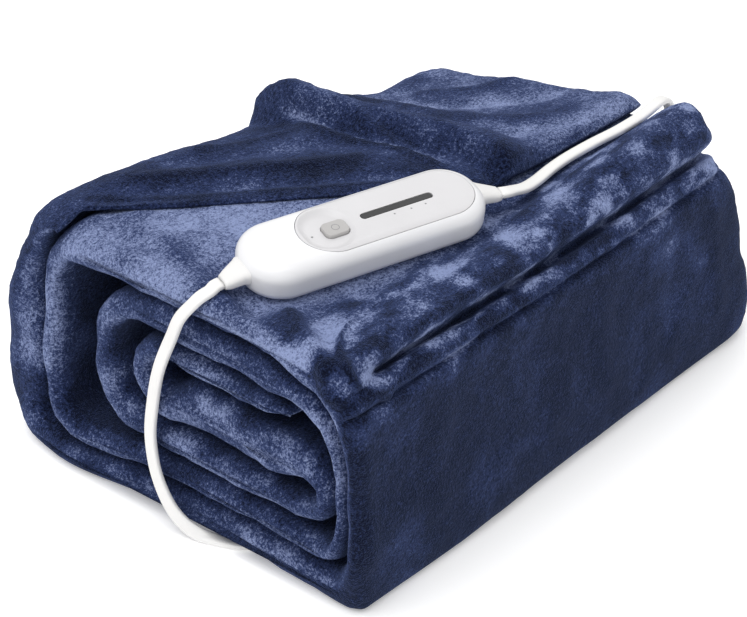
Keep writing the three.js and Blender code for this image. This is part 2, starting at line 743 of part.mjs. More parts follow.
// From the controller along the top, over the far end and down to the coil.
const MAINS_CORD = [...cordStart(RELIEF_MAINS), ...cordRows(
  [167, 40.4, 145.4, 0.1, 0.98, 0.15],
  [177, 41.4, 142.6, 0.05, 0.99, 0.1],
  [190, 43.6, 140.4, 0, 1, 0.05],
  [206, 46.4, 139.8, 0, 1, 0],
  [222, 47.9, 139.6, 0, 1, 0],
  [244, 47, 140.2, 0, 1, 0],
  [265, 44.8, 141, 0, 1, 0],
  [285, 44.2, 142, 0, 1, 0],
  [298, 44.6, 143.2, 0, 1, 0],
  [309, 46.8, 142.8, 0, 1, 0],
  [319, 50, 137, 0, 1, 0],
  [328.5, 53, 124, 0.05, 1, 0],
  [336.5, 56, 103, 0.1, 1, 0],
  [343, 60, 76, 0.1, 1, 0.1],
  [347.8, 67, 48, 0, 0.9, 0.4],
  [350, 76, 28, 0, 0.7, 0.7],
  [350.6, 88, 14.6, 0, 0.4, 0.9],
  [350.6, 104, 8.4, 0, 0.1, 1],
  [350.2, 124, 6.3, 0, 0, 1],
  [COIL.x - COIL.outer - GAP - CORD.thickness / 2 - 0.2, COIL.y, 6.2, 0, 0, 1],
)];

/** Place beside the coil's outside at an angle, and the lead's heading there. */
function besideCoil(angle, z) {
  const r = COIL.outer + GAP + CORD.thickness / 2 + 0.1;
  const a = radians(angle);
  return { x: COIL.x + r * Math.cos(a), y: COIL.y + r * Math.sin(a), z, wx: 0, wy: 0, wz: 1 };
}

// From the coil to the plug.
const TAIL_CORD = [
  besideCoil(140, 4.6),
  ...cordRows(
    [375, 194.5, 4.7, 0, 0, 1],
    [388, 205.5, 5.6, 0.4, 0, 0.9],
    [394.6, 214, 7, 0.8, 0, 0.5],
    [PLUG.x, PLUG.y - PLUG.neck - GAP - 4, PLUG.z, 1, 0, 0],
    [PLUG.x, PLUG.y - PLUG.neck - GAP, PLUG.z, 1, 0, 0],
  ),
];

/** Flat cord along rows; its section is an oval-ended strip of ten sides. */
function cordGeometry(table, spacing) {
  const line = new THREE.CatmullRomCurve3(table.map((row) => new THREE.Vector3(row.x, row.y, row.z)), false, 'centripetal');
  const steps = Math.max(4, Math.round(line.getLength() / spacing));
  const half = CORD.width / 2;
  const flat = CORD.thickness / 2;
  const section = [
    [half, 0], [half - 0.35, flat * 0.62], [half - 1.3, flat * 0.96], [0, flat], [1.3 - half, flat * 0.96],
    [0.35 - half, flat * 0.62], [-half, 0], [0.35 - half, -flat * 0.62], [1.3 - half, -flat * 0.96],
    [0, -flat], [half - 1.3, -flat * 0.96], [half - 0.35, -flat * 0.62],
  ].reverse();
  const rings = [];
  for (let i = 0; i <= steps; i += 1) {
    const t = line.getUtoTmapping(i / steps);
    const at = line.getPoint(t);
    const heading = line.getTangent(t);
    const place = t * (table.length - 1);
    const row = table[Math.min(Math.floor(place), table.length - 2)];
    const next = table[Math.min(Math.floor(place) + 1, table.length - 1)];
    const part01 = place - Math.floor(Math.min(place, table.length - 2));
    const across = new THREE.Vector3(row.wx, row.wy, row.wz)
      .lerp(new THREE.Vector3(next.wx, next.wy, next.wz), part01);
    across.addScaledVector(heading, -across.dot(heading)).normalize();
    const up = new THREE.Vector3().crossVectors(heading, across);
    rings.push(section.map(([a, b]) => at.clone().addScaledVector(across, a).addScaledVector(up, b)));
  }
  return loft(rings, () => flatCap(([a, b]) => new THREE.Vector2(a, b))(section));
}

/** The coil as one closed ring of rounded square section. */
function coilGeometry() {
  const { inner, outer, bottom, height } = COIL;
  const top = bottom + height;
  const soft = 1.4;
  const profile = [
    [inner + soft, bottom], [outer - soft, bottom], [outer, bottom + soft], [outer, top - soft],
    [outer - soft, top], [inner + soft, top], [inner, top - soft], [inner, bottom + soft], [inner + soft, bottom],
  ];
  const geometry = new THREE.LatheGeometry(profile.map(([r, z]) => new THREE.Vector2(r, z)), 48);
  return geometry.rotateX(Math.PI / 2).translate(COIL.x, COIL.y, 0);
}

/** The tie: a square band that goes round the coil at one place. */
function tieGeometry() {
  const air = 2 * GAP;
  const width = COIL.outer - COIL.inner + 2 * air;
  const height = COIL.height + 2 * air;
  const t = TIE.thickness;
  const outline = roundedRectangle(width + 2 * t, height + 2 * t, 1);
  const hole = new THREE.Path(roundedRectangle(width, height, 0.4).getPoints(2).reverse());
  outline.holes.push(hole);
  const geometry = new THREE.ExtrudeGeometry(outline, { depth: TIE.width, bevelEnabled: false, curveSegments: 2 });
  geometry.translate(0, 0, -TIE.width / 2).rotateX(Math.PI / 2);
  geometry.translate((COIL.inner + COIL.outer) / 2, 0, COIL.bottom + COIL.height / 2);
  return geometry.rotateZ(radians(TIE.angle)).translate(COIL.x, COIL.y, 0);
}

/** Plug body with a tapered neck, lying on the floor and pointing towards +Y. */
function plugGeometry() {
  const table = [
    { x: -PLUG.neck, width: 9, height: 6 },
    { x: -0.6, width: 12, height: 9 },
    { x: 0, width: PLUG.width - 4, height: PLUG.height - 3 },
    { x: 3, width: PLUG.width, height: PLUG.height },
    { x: PLUG.length - 2, width: PLUG.width, height: PLUG.height },
    { x: PLUG.length, width: PLUG.width - 3, height: PLUG.height - 3 },
  ];
  const rings = table.map((row) => ovalRing(row));
  const geometry = loft(rings, flatCap((point) => new THREE.Vector2(point.y, point.z)));
  return geometry.rotateZ(Math.PI / 2).translate(PLUG.x, PLUG.y, PLUG.z);
}

/** Seat of one plug blade, or the blade itself. */
function bladeGeometry(side, grow = 0) {
  const geometry = new THREE.BoxGeometry(
    PLUG.bladeThickness + 2 * grow,
    PLUG.bladeLength + PLUG.bladeRoot + 2 * grow,
    PLUG.bladeWidth + 2 * grow,
  );
  const y = PLUG.y + PLUG.length + (PLUG.bladeLength - PLUG.bladeRoot) / 2;
  return geometry.translate(PLUG.x + (side * PLUG.bladePitch) / 2, y, PLUG.z);
}

// ---------------------------------------------------------------- assembly

const controller = controllerSolids();
const plug = [-1, 1].reduce((left, side) => left.subtract(solid(bladeGeometry(side, GAP))), solid(plugGeometry()));

const model = new THREE.Group();
model.position.set(-BUNDLE_CENTRE.x, -BUNDLE_CENTRE.y, 0);
model.add(
  part('blanket', blanketGeometry(), COLOURS.plush, 0.95),
  part('controller_body', placed(controller.body), COLOURS.shell, 0.35),
  part('face_plate', placed(controller.plate), COLOURS.plate, 0.4),
  part('button', placed(controller.button), COLOURS.button, 0.5),
  part('indicator_window', placed(controller.window), COLOURS.window, 0.2),
  part('loop_relief', placed(reliefGeometry(RELIEF_NEAR)), COLOURS.cord, 0.5),
  part('mains_relief', placed(reliefGeometry(RELIEF_MAINS)), COLOURS.cord, 0.5),
  part('loop_cord', cordGeometry(LOOP_CORD, 11), COLOURS.cord, 0.5),
  part('mains_cord', cordGeometry(MAINS_CORD, 11), COLOURS.cord, 0.5),
  part('mains_coil', coilGeometry(), COLOURS.cord, 0.5),
  part('coil_tie', tieGeometry(), COLOURS.window, 0.6),
  part('mains_tail', cordGeometry(TAIL_CORD, 9), COLOURS.cord, 0.5),
  part('plug_body', geometryOf(plug), COLOURS.cord, 0.5),
  part('plug_blade_left', bladeGeometry(-1), COLOURS.brass, 0.3, 1),
  part('plug_blade_right', bladeGeometry(1), COLOURS.brass, 0.3, 1),
);

export default model;
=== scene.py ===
"""Looks of a folded electric heated throw with its hand controller and leads.

Lengths inside the classes are millimetres in the bundle frame: X from the open end,
Y from the plain front face, Z from the floor. Meshes are made in metres in the row frame.
"""

from __future__ import annotations

import json
import logging
import math
from collections.abc import Callable
from dataclasses import dataclass, field
from enum import Enum

import bpy
import bmesh
import numpy as np
from mathutils import Matrix, Vector
from mathutils.geometry import tessellate_polygon

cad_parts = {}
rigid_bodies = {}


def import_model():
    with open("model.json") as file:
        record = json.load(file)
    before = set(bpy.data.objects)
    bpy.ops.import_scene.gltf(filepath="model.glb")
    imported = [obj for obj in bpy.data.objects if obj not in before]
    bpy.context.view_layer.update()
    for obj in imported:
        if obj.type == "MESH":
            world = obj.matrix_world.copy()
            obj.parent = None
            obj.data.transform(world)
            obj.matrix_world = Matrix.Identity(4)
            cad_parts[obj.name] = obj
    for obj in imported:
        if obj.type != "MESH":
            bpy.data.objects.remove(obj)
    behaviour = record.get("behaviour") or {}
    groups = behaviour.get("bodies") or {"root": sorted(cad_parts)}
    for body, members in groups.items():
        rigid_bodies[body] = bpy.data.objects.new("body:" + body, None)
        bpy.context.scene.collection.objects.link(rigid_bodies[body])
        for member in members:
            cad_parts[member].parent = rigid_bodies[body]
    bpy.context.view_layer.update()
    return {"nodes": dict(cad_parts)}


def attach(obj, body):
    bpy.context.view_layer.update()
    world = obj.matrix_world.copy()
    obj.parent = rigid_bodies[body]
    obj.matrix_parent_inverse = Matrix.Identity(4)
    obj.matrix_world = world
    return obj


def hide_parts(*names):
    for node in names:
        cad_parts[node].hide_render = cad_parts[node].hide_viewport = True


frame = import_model()

LOG = logging.getLogger("throw")
BUNDLE_CENTRE = np.array([163.7, 118.3, 0.0])
GAP = 0.3

Array = np.ndarray
Item = bpy.types.Object
Paint = bpy.types.Material
Socket = bpy.types.NodeSocket


# ------------------------------------------------------------------ plain helpers


def smooth(start: float, end: float, value: Array | float) -> Array | float:
    """Smooth step from 0 at start to 1 at end."""
    t = np.clip((np.asarray(value, float) - start) / (end - start), 0.0, 1.0)
    return t * t * (3.0 - 2.0 * t)


def bell(value: Array | float, centre: float, width: float) -> Array | float:
    """Bell curve of height 1 about centre."""
    return np.exp(-(((np.asarray(value, float) - centre) / width) ** 2))


def mix(a: Array | float, b: Array | float, t: Array | float) -> Array | float:
    """Straight blend from a to b."""
    return a + (b - a) * t


def to_row(points: Array) -> Array:
    """Bundle-frame millimetres to row-frame metres."""
    return (np.asarray(points, float) - BUNDLE_CENTRE) / 1000.0


def lattice_noise(points: Array, size: float, seed: int) -> Array:
    """Smooth value noise from -1 to 1.

    Args:
        points: Places, one row each.
        size: Distance between the lattice's random values.
        seed: Number that picks the lattice.

    Returns:
        One value per place.
    """
    q = np.asarray(points, float) / size
    cell = np.floor(q).astype(np.int64)
    part = q - cell
    part = part * part * part * (part * (part * 6 - 15) + 10)
    total = np.zeros(len(q))
    for corner in range(8):
        step = np.array([corner & 1, (corner >> 1) & 1, (corner >> 2) & 1])
        key = cell + step
        mixed = (key[:, 0] * 73856093) ^ (key[:, 1] * 19349663) ^ (key[:, 2] * 83492791) ^ (seed * 2654435761)
        mixed = (mixed ^ (mixed >> 13)) * 1274126177
        value = ((mixed ^ (mixed >> 16)) & 0xFFFF) / 32767.5 - 1.0
        weight = np.prod(np.where(step == 1, part, 1.0 - part), axis=1)
        total += value * weight
    return total


def layered_noise(points: Array, size: float, seed: int, octaves: int = 3) -> Array:
    """Sum of lattice noises, each half the size and strength of the last."""
    return sum(lattice_noise(points, size / 2**k, seed + 17 * k) * 0.5**k for k in range(octaves))


def polyline_distance(points: Array, line: Array) -> tuple[Array, Array]:
    """Distance from each point to a polyline.

    Args:
        points: Places, one row each.
        line: The polyline's corners, one row each.

    Returns:
        The distances, and how far along the line (0 to 1) each nearest place lies.
    """
    lengths = np.linalg.norm(np.diff(line, axis=0), axis=1)
    start = np.concatenate([[0.0], np.cumsum(lengths)])
    best = np.full(len(points), 1e9)
    along = np.zeros(len(points))
    for i, length in enumerate(lengths):
        way = (line[i + 1] - line[i]) / length
        t = np.clip((points - line[i]) @ way, 0.0, length)
        d = np.linalg.norm(points - line[i] - t[:, None] * way, axis=1)
        near = d < best
        best[near] = d[near]
        along[near] = (start[i] + t[near]) / start[-1]
    return best, along


def rounded_path(rows: Array, counts: list[int], axes: int = 2) -> Array:
    """Centripetal Catmull-Rom through rows, with counts[i] samples on span i.

    Args:
        rows: Control rows, shaped (..., rows, columns).
        counts: Samples on each span; the last row closes the list.
        axes: How many of the first columns are the place.

    Returns:
        The samples, shaped (..., samples, columns).
    """
    step = np.sqrt(np.maximum(np.linalg.norm(np.diff(rows[..., :axes], axis=-2), axis=-1), 1e-6))
    before = rows[..., :1, :] * 2 - rows[..., 1:2, :]
    after = rows[..., -1:, :] * 2 - rows[..., -2:-1, :]
    padded = np.concatenate([before, rows, after], axis=-2)
    knots = np.concatenate([step[..., :1], step, step[..., -1:]], axis=-1)
    out = []
    for i, count in enumerate(counts):
        p0, p1, p2, p3 = (padded[..., i + k, :] for k in range(4))
        d0, d1, d2 = (knots[..., i + k, None] for k in range(3))
        m1 = ((p1 - p0) / d0 - (p2 - p0) / (d0 + d1) + (p2 - p1) / d1) * d1
        m2 = ((p2 - p1) / d1 - (p3 - p1) / (d1 + d2) + (p3 - p2) / d2) * d1
        for k in range(count):
            t = k / count
            out.append((2 * t**3 - 3 * t**2 + 1) * p1 + (t**3 - 2 * t**2 + t) * m1
                       + (-2 * t**3 + 3 * t**2) * p2 + (t**3 - t**2) * m2)
    out.append(rows[..., -1, :])
    return np.stack(out, axis=-2)


def show(name: str, data: bpy.types.ID) -> Item:
    """Object in the scene with the given mesh, lamp or camera.

    Args:
        name: Name of the object.
        data: Its mesh, lamp or camera.

    Returns:
        The object.
    """
    obj = bpy.data.objects.new(name, data)
    bpy.context.scene.collection.objects.link(obj)
    return obj


def new_object(name: str, points: Array, faces: list, finish: Paint) -> Item:
    """Object from bundle-frame points and faces.

    Args:
        name: Name of the object and its mesh.
        points: Vertices in bundle-frame millimetres, one row each.
        faces: Vertex numbers of each face.
        finish: Its one material.

    Returns:
        The smooth-shaded object.
    """
    mesh = bpy.data.meshes.new(name)
    mesh.from_pydata(to_row(points).tolist(), [], faces)
    mesh.materials.append(finish)
    mesh.polygons.foreach_set("use_smooth", [True] * len(mesh.polygons))
    mesh.update()
    return show(name, mesh)


def ring_faces(count: int, rings: int) -> list:
    """Quads between neighbouring closed rings of count points."""
    return [(r * count + i, (r + 1) * count + i, (r + 1) * count + (i + 1) % count, r * count + (i + 1) % count)
            for r in range(rings - 1) for i in range(count)]


def loft(name: str, rings: Array, finish: Paint) -> Item:
    """Closed solid through rings of points.

    Args:
        name: Name of the object.
        rings: Points in bundle-frame millimetres, shaped (rings, points, 3).
        finish: Its material.

    Returns:
        The object, with a face over each end.
    """
    total, count = rings.shape[:2]
    ends = [tuple(range(count)), tuple(range((total - 1) * count, total * count))[::-1]]
    return new_object(name, rings.reshape(-1, 3), ring_faces(count, total) + ends, finish)


# ------------------------------------------------------------------ finishes


class Nodes:
    """Short way to add shader nodes to a tree and join them."""

    def __init__(self, tree: bpy.types.NodeTree) -> None:
        """Keeps the tree."""
        self.tree = tree

    def add(self, kind: str, **settings: object) -> bpy.types.Node:
        """Adds a node.

        Args:
            kind: The node's type.
            **settings: Its properties, or values of its inputs by name.

        Returns:
            The node.
        """
        node = self.tree.nodes.new(kind)
        for key, value in settings.items():
            if hasattr(node, key):
                setattr(node, key, value)
            else:
                node.inputs[key.replace("_", " ")].default_value = value
        return node

    def join(self, out: Socket, into: Socket) -> None:
        """Links one socket into another."""
        self.tree.links.new(out, into)

    def _feed(self, value: object, into: Socket) -> None:
        """Links a socket, or sets a plain value.

        Args:
            value: A socket or a plain value.
            into: The input it goes to.
        """
        if isinstance(value, Socket):
            self.join(value, into)
        else:
            into.default_value = value

    def math(self, operation: str, a: object, b: object = 0.0, clamp: bool = False) -> Socket:
        """Adds a math node.

        Args:
            operation: Name of the operation.
            a: First value or socket.
            b: Second value or socket.
            clamp: Whether the result stays between 0 and 1.

        Returns:
            The node's output.
        """
        node = self.tree.nodes.new("ShaderNodeMath")
        node.operation = operation
        node.use_clamp = clamp
        self._feed(a, node.inputs[0])
        self._feed(b, node.inputs[1])
        return node.outputs[0]

    def blend(self, factor: object, a: object, b: object) -> Socket:
        """Adds a colour mix.

        Args:
            factor: Share of the second colour.
            a: First colour or socket.
            b: Second colour or socket.

        Returns:
            The node's output.
        """
        node = self.tree.nodes.new("ShaderNodeMix")
        node.data_type = "RGBA"
        for value, into in ((factor, node.inputs[0]), (a, node.inputs[6]), (b, node.inputs[7])):
            self._feed(value, into)
        return node.outputs[2]

    def noise(self, place: Socket, **settings: float) -> bpy.types.Node:
        """Adds a noise texture.

        Args:
            place: Socket that gives the place.
            **settings: Values of the noise's inputs by name.

        Returns:
            The node.
        """
        node = self.add("ShaderNodeTexNoise", **settings)
        self.join(place, node.inputs["Vector"])
        return node

    def swing(self, value: Socket, gain: object) -> Socket:
        """A value's part over one half, times a gain."""
        return self.math("MULTIPLY", self.math("SUBTRACT", value, 0.5), gain)

    def bump(self, height: Socket, shader: bpy.types.Node, strength: float, distance: float) -> None:
        """Bends a shader's normal by a height.

        Args:
            height: Socket that gives the height.
            shader: The shader whose normal bends.
            strength: How strongly, from 0 to 1.
            distance: Height in metres that stands for 1.
        """
        node = self.add("ShaderNodeBump", Strength=strength, Distance=distance)
        self.join(height, node.inputs["Height"])
        self.join(node.outputs["Normal"], shader.inputs["Normal"])

    @staticmethod
    def dial(node: bpy.types.Node, **values: object) -> None:
        """Sets inputs by name."""
        for key, value in values.items():
            node.inputs[key.replace("_", " ")].default_value = value


def new_paint(name: str) -> tuple[Paint, Nodes, bpy.types.Node]:
    """Starts a material.

    Args:
        name: Name of the material.

    Returns:
        The material, its nodes and its shader.
    """
    paint = bpy.data.materials.new(name)
    paint.use_nodes = True
    return paint, Nodes(paint.node_tree), paint.node_tree.nodes["Principled BSDF"]


def linear(red: int, green: int, blue: int) -> tuple[float, float, float, float]:
    """Scene-linear colour of an 8-bit display colour.

    Args:
        red: Red from 0 to 255.
        green: Green from 0 to 255.
        blue: Blue from 0 to 255.

    Returns:
        Red, green, blue and full alpha, from 0 to 1.
    """
    def one(c: int) -> float:
        """One channel."""
        v = c / 255.0
        return v / 12.92 if v <= 0.04045 else ((v + 0.055) / 1.055) ** 2.4
    return (one(red), one(green), one(blue), 1.0)


def brushed_nap(n: Nodes, inlet: bpy.types.Node, outlet: bpy.types.Node) -> None:
    """Brushed pile: streaky light and dark where the nap lies over.

    Args:
        n: Nodes of the group.
        inlet: The group's input node.
        outlet: The group's output node.
    """
    place = n.add("ShaderNodeTexCoord").outputs["Object"]
    stretch = n.add("ShaderNodeMapping", Scale=(1.0, 1.4, 1.4))
    n.join(place, stretch.inputs["Vector"])
    patch = n.noise(stretch.outputs["Vector"], Detail=5.0, Roughness=0.62, Distortion=0.6)
    n.join(inlet.outputs["Patch Size"], patch.inputs["Scale"])
    tuft = n.noise(place, Scale=560.0, Detail=3.0, Roughness=0.65)
    pile = n.noise(place, Scale=1250.0, Detail=2.0, Roughness=0.7)
    swing = n.swing(patch.outputs["Fac"], inlet.outputs["Patch Strength"])
    small, fine = n.swing(tuft.outputs["Fac"], 1.3), n.swing(pile.outputs["Fac"], 1.2)
    lay = n.math("ADD", n.math("ADD", inlet.outputs["Lay"], swing), n.math("ADD", small, fine), clamp=True)
    low = n.blend(n.math("MULTIPLY", lay, 2.0, clamp=True), inlet.outputs["Dark"], inlet.outputs["Middle"])
    high = n.math("MULTIPLY", n.math("SUBTRACT", lay, 0.5), 2.0, clamp=True)
    n.join(n.blend(high, low, inlet.outputs["Light"]), outlet.inputs["Color"])
    rise = (n.math("MULTIPLY", noise.outputs["Fac"], 0.7) for noise in (tuft, pile))
    n.join(n.math("ADD", *rise), outlet.inputs["Height"])


def moulded_grain(n: Nodes, inlet: bpy.types.Node, outlet: bpy.types.Node) -> None:
    """Moulded plastic: faint clouds in colour and gloss, and a fine grain.

    Args:
        n: Nodes of the group.
        inlet: The group's input node.
        outlet: The group's output node.
    """
    place = n.add("ShaderNodeTexCoord").outputs["Object"]
    cloud = n.noise(place, Scale=60.0, Detail=3.0)
    grain = n.noise(place, Detail=2.0)
    n.join(inlet.outputs["Grain Scale"], grain.inputs["Scale"])
    tint = n.blend(cloud.outputs["Fac"], inlet.outputs["Color"], inlet.outputs["Shade"])
    n.join(tint, outlet.inputs["Color"])
    rough = n.add("ShaderNodeMapRange")
    n.join(cloud.outputs["Fac"], rough.inputs["Value"])
    n.join(inlet.outputs["Smoothest"], rough.inputs["To Min"])
    n.join(inlet.outputs["Roughest"], rough.inputs["To Max"])
    n.join(rough.outputs["Result"], outlet.inputs["Roughness"])
    n.join(grain.outputs["Fac"], outlet.inputs["Height"])


def drawn_lines(n: Nodes, inlet: bpy.types.Node, outlet: bpy.types.Node) -> None:
    """Plated metal: fine lines along the way it was drawn.

    Args:
        n: Nodes of the group.
        inlet: The group's input node.
        outlet: The group's output node.
    """
    stretch = n.add("ShaderNodeMapping", Scale=(1.0, 0.05, 1.0))
    n.join(n.add("ShaderNodeTexCoord").outputs["Object"], stretch.inputs["Vector"])
    line = n.noise(stretch.outputs["Vector"], Scale=700.0, Detail=2.0)
    tint = n.blend(line.outputs["Fac"], inlet.outputs["Shade"], inlet.outputs["Color"])
    n.join(tint, outlet.inputs["Color"])


@dataclass(frozen=True)
class Effect:
    """A look that is a node group: built once, and placed in each material with its own values."""

    name: str
    inputs: dict
    outputs: dict
    fill: Callable

    def tree(self) -> bpy.types.NodeTree:
        """The group, which the first material that uses it builds.

        Returns:
            The group's tree, the same for every material.
        """
        tree = bpy.data.node_groups.get(self.name)
        if tree is None:
            tree = bpy.data.node_groups.new(self.name, "ShaderNodeTree")
            for way, sockets in (("INPUT", self.inputs), ("OUTPUT", self.outputs)):
                for label, kind in sockets.items():
                    tree.interface.new_socket(name=label, in_out=way, socket_type=f"NodeSocket{kind}")
            n = Nodes(tree)
            self.fill(n, n.add("NodeGroupInput"), n.add("NodeGroupOutput"))
        return tree

    def place(self, n: Nodes, **values: object) -> bpy.types.Node:
        """Adds the group to a material.

        Args:
            n: Nodes of the material.
            **values: Values of the group's inputs by name.

        Returns:
            The group's node.
        """
        node = n.add("ShaderNodeGroup", node_tree=self.tree())
        n.dial(node, **values)
        return node


NAP = Effect("brushed_nap", {
    "Lay": "Float", "Dark": "Color", "Middle": "Color", "Light": "Color",
    "Patch Size": "Float", "Patch Strength": "Float",
}, {"Color": "Color", "Height": "Float"}, brushed_nap)
GRAIN = Effect("moulded_grain", {
    "Color": "Color", "Shade": "Color", "Smoothest": "Float", "Roughest": "Float", "Grain Scale": "Float",
}, {"Color": "Color", "Roughness": "Float", "Height": "Float"}, moulded_grain)
LINES = Effect("drawn_lines", {"Color": "Color", "Shade": "Color"}, {"Color": "Color"}, drawn_lines)


def darker(colour: tuple, share: float) -> tuple:
    """A colour dimmed to a share of itself."""
    return tuple(c * share for c in colour[:3]) + (1.0,)


@dataclass(frozen=True)
class PlushFinish:
    """Brushed plush whose nap shows as light and dark patches; its lay attribute also brings painted shade and
    painted highlight.
    """

    name: str = "navy_plush"
    dark: tuple = linear(7, 12, 30)
    middle: tuple = linear(44, 56, 94)
    light: tuple = linear(142, 155, 194)
    patch_scale: float = 26.0
    patch_strength: float = 0.5

    def build(self) -> Paint:
        """Makes the material.

        Returns:
            The material.
        """
        material, n, shader = new_paint(self.name)
        nap = NAP.place(n, Dark=self.dark, Middle=self.middle, Light=self.light,
                        Patch_Size=self.patch_scale, Patch_Strength=self.patch_strength)
        lay = n.add("ShaderNodeAttribute", attribute_name="lay")
        n.join(lay.outputs["Fac"], nap.inputs["Lay"])
        n.join(nap.outputs["Color"], shader.inputs["Base Color"])
        n.bump(nap.outputs["Height"], shader, 0.9, 0.002)
        n.dial(shader, Roughness=0.95, Specular_IOR_Level=0.06, Sheen_Weight=0.3, Sheen_Roughness=0.45,
               Sheen_Tint=linear(135, 155, 210))
        return material


@dataclass(frozen=True)
class PlasticFinish:
    """Moulded plastic with a faint grain."""

    name: str
    colour: tuple
    roughness: float = 0.35
    grain: float = 0.05
    grain_scale: float = 900.0
    coat: float = 0.0

    def build(self) -> Paint:
        """Makes the material.

        Returns:
            The material.
        """
        material, n, shader = new_paint(self.name)
        grain = GRAIN.place(n, Color=self.colour, Shade=darker(self.colour, 0.94),
                            Smoothest=max(0.02, self.roughness - 0.05), Roughest=self.roughness + 0.05,
                            Grain_Scale=self.grain_scale)
        n.join(grain.outputs["Color"], shader.inputs["Base Color"])
        n.join(grain.outputs["Roughness"], shader.inputs["Roughness"])
        n.bump(grain.outputs["Height"], shader, self.grain, 0.0004)
        n.dial(shader, Coat_Weight=self.coat)
        return material


@dataclass(frozen=True)
class MetalFinish:
    """Plain plated metal with fine draw lines."""

    name: str
    colour: tuple
    roughness: float = 0.28

    def build(self) -> Paint:
        """Makes the material.

        Returns:
            The material.
        """
        material, n, shader = new_paint(self.name)
        lines = LINES.place(n, Color=self.colour, Shade=darker(self.colour, 0.8))
        n.join(lines.outputs["Color"], shader.inputs["Base Color"])
        n.dial(shader, Metallic=1.0, Roughness=self.roughness)
        return material


# ------------------------------------------------------------------ studio


@dataclass
class Studio:
    """Camera, pale floor and soft lights."""

    azimuth: float = -48.5
    elevation: float = 32.0
    distance: float = 1070.0
    aim: tuple = (132.0, 104.0, 65.0)
    focal_pixels: float = 2000.0
    image_width: float = 747.0
    floor_half: float = 6.0
    surround: float = 0.68
    lamps: tuple = (
        ("key", (-0.75, 0.05, 1.9), 1.7, 26.0),
        ("fill", (-1.5, -1.4, 0.9), 1.6, 5.0),
        ("rim", (1.5, 0.6, 1.6), 1.4, 8.0),
    )

    def place_camera(self) -> None:
        """Sets the scene's camera."""
        az, el = math.radians(self.azimuth), math.radians(self.elevation)
        back = Vector((math.sin(az) * math.cos(el), -math.cos(az) * math.cos(el), math.sin(el)))
        data = bpy.data.cameras.new("view")
        data.sensor_width = 36.0
        data.lens = self.focal_pixels / self.image_width * 36.0
        data.clip_start, data.clip_end = 0.01, 50.0
        camera = show("view", data)
        camera.location = Vector(to_row(np.array(self.aim))) + back * self.distance / 1000.0
        camera.rotation_euler = back.to_track_quat("Z", "Y").to_euler()
        bpy.context.scene.camera = camera

    def lay_floor(self) -> None:
        """Adds the plain pale floor."""
        mesh = bpy.data.meshes.new("floor")
        s = self.floor_half
        mesh.from_pydata([(-s, -s, 0), (s, -s, 0), (s, s, 0), (-s, s, 0)], [], [(0, 1, 2, 3)])
        material, n, shader = new_paint("floor_paint")
        n.dial(shader, Base_Color=(0.97, 0.97, 0.975, 1.0), Roughness=0.9, Specular_IOR_Level=0.1,
               Emission_Color=(1.0, 1.0, 1.0, 1.0), Emission_Strength=0.2)
        mesh.materials.append(material)
        show("floor", mesh)

    def area(self, name: str, place: tuple, size: float, power: float) -> None:
        """Adds one soft lamp that faces the bundle's middle.

        Args:
            name: Name of the lamp.
            place: Where it stands, in row-frame metres.
            size: Side of its square, in metres.
            power: Its power in watts.
        """
        data = bpy.data.lights.new(name, "AREA")
        data.size = size
        data.energy = power
        lamp = show(name, data)
        lamp.location = place
        lamp.rotation_euler = Vector(place).to_track_quat("Z", "Y").to_euler()

    def light(self) -> None:
        """Adds the lamps and the pale surround."""
        world = bpy.data.worlds.new("surround")
        world.use_nodes = True
        back = world.node_tree.nodes["Background"]
        Nodes.dial(back, Color=(1.0, 1.0, 1.0, 1.0), Strength=self.surround)
        bpy.context.scene.world = world
        for lamp in self.lamps:
            self.area(*lamp)
        bpy.context.scene.view_settings.view_transform = "Standard"

    def build(self) -> None:
        """Sets up everything that isn't part of the object."""
        self.place_camera()
        self.lay_floor()
        self.light()


# ------------------------------------------------------------------ controller's frame


@dataclass(frozen=True)
class ControllerPlace:
    """Where the hand controller lies."""

    centre: tuple = (82.7, 67.5, 147.5)
    yaw: float = -17.4
    pitch: float = 1.6
    roll: float = 11.8
    length: float = 133.5
    width: float = 43.3
    height: float = 19.1
    seat_gap: float = 1.1
    seat_fade: float = 16.0
    edge: float = 6.0

    def turn(self) -> Array:
        """Rotation from the controller's frame to the bundle frame.

        Returns:
            The rotation as a 3 by 3 matrix.
        """
        m = (Matrix.Rotation(math.radians(self.yaw), 3, "Z")
             @ Matrix.Rotation(math.radians(-self.pitch), 3, "Y")
             @ Matrix.Rotation(math.radians(self.roll), 3, "X"))
        return np.array(m)

    def out(self, points: Array) -> Array:
        """Points of the controller's frame in the bundle frame."""
        return np.asarray(points, float) @ self.turn().T + np.array(self.centre)

    def into(self, points: Array) -> Array:
        """Points of the bundle frame in the controller's frame."""
        return (np.asarray(points, float) - np.array(self.centre)) @ self.turn()

    def seat(self, x: Array, y: Array) -> tuple[Array, Array]:
        """The plane that the controller rests on.

        Args:
            x: Places along X.
            y: Places along Y.

        Returns:
            Height of that plane, and from 0 to 1 how strongly it shapes the cloth.
        """
        normal = self.turn()[:, 2]
        point = self.out(np.array([0.0, 0.0, -self.height / 2 - self.seat_gap]))
        z = point[2] - ((x - point[0]) * normal[0] + (y - point[1]) * normal[1]) / normal[2]
        local = self.into(np.stack([x, y, z], axis=-1))
        out_x = np.maximum(0.0, np.abs(local[..., 0]) - (self.length - self.edge) / 2)
        out_y = np.maximum(0.0, np.abs(local[..., 1]) - (self.width - self.edge) / 2)
        return z, 1.0 - smooth(0.0, self.seat_fade, np.hypot(out_x, out_y))


PLACE = ControllerPlace()


class Cut(Enum):
    """What a tool solid does to another."""

    AWAY = "DIFFERENCE"
    KEEP = "INTERSECT"


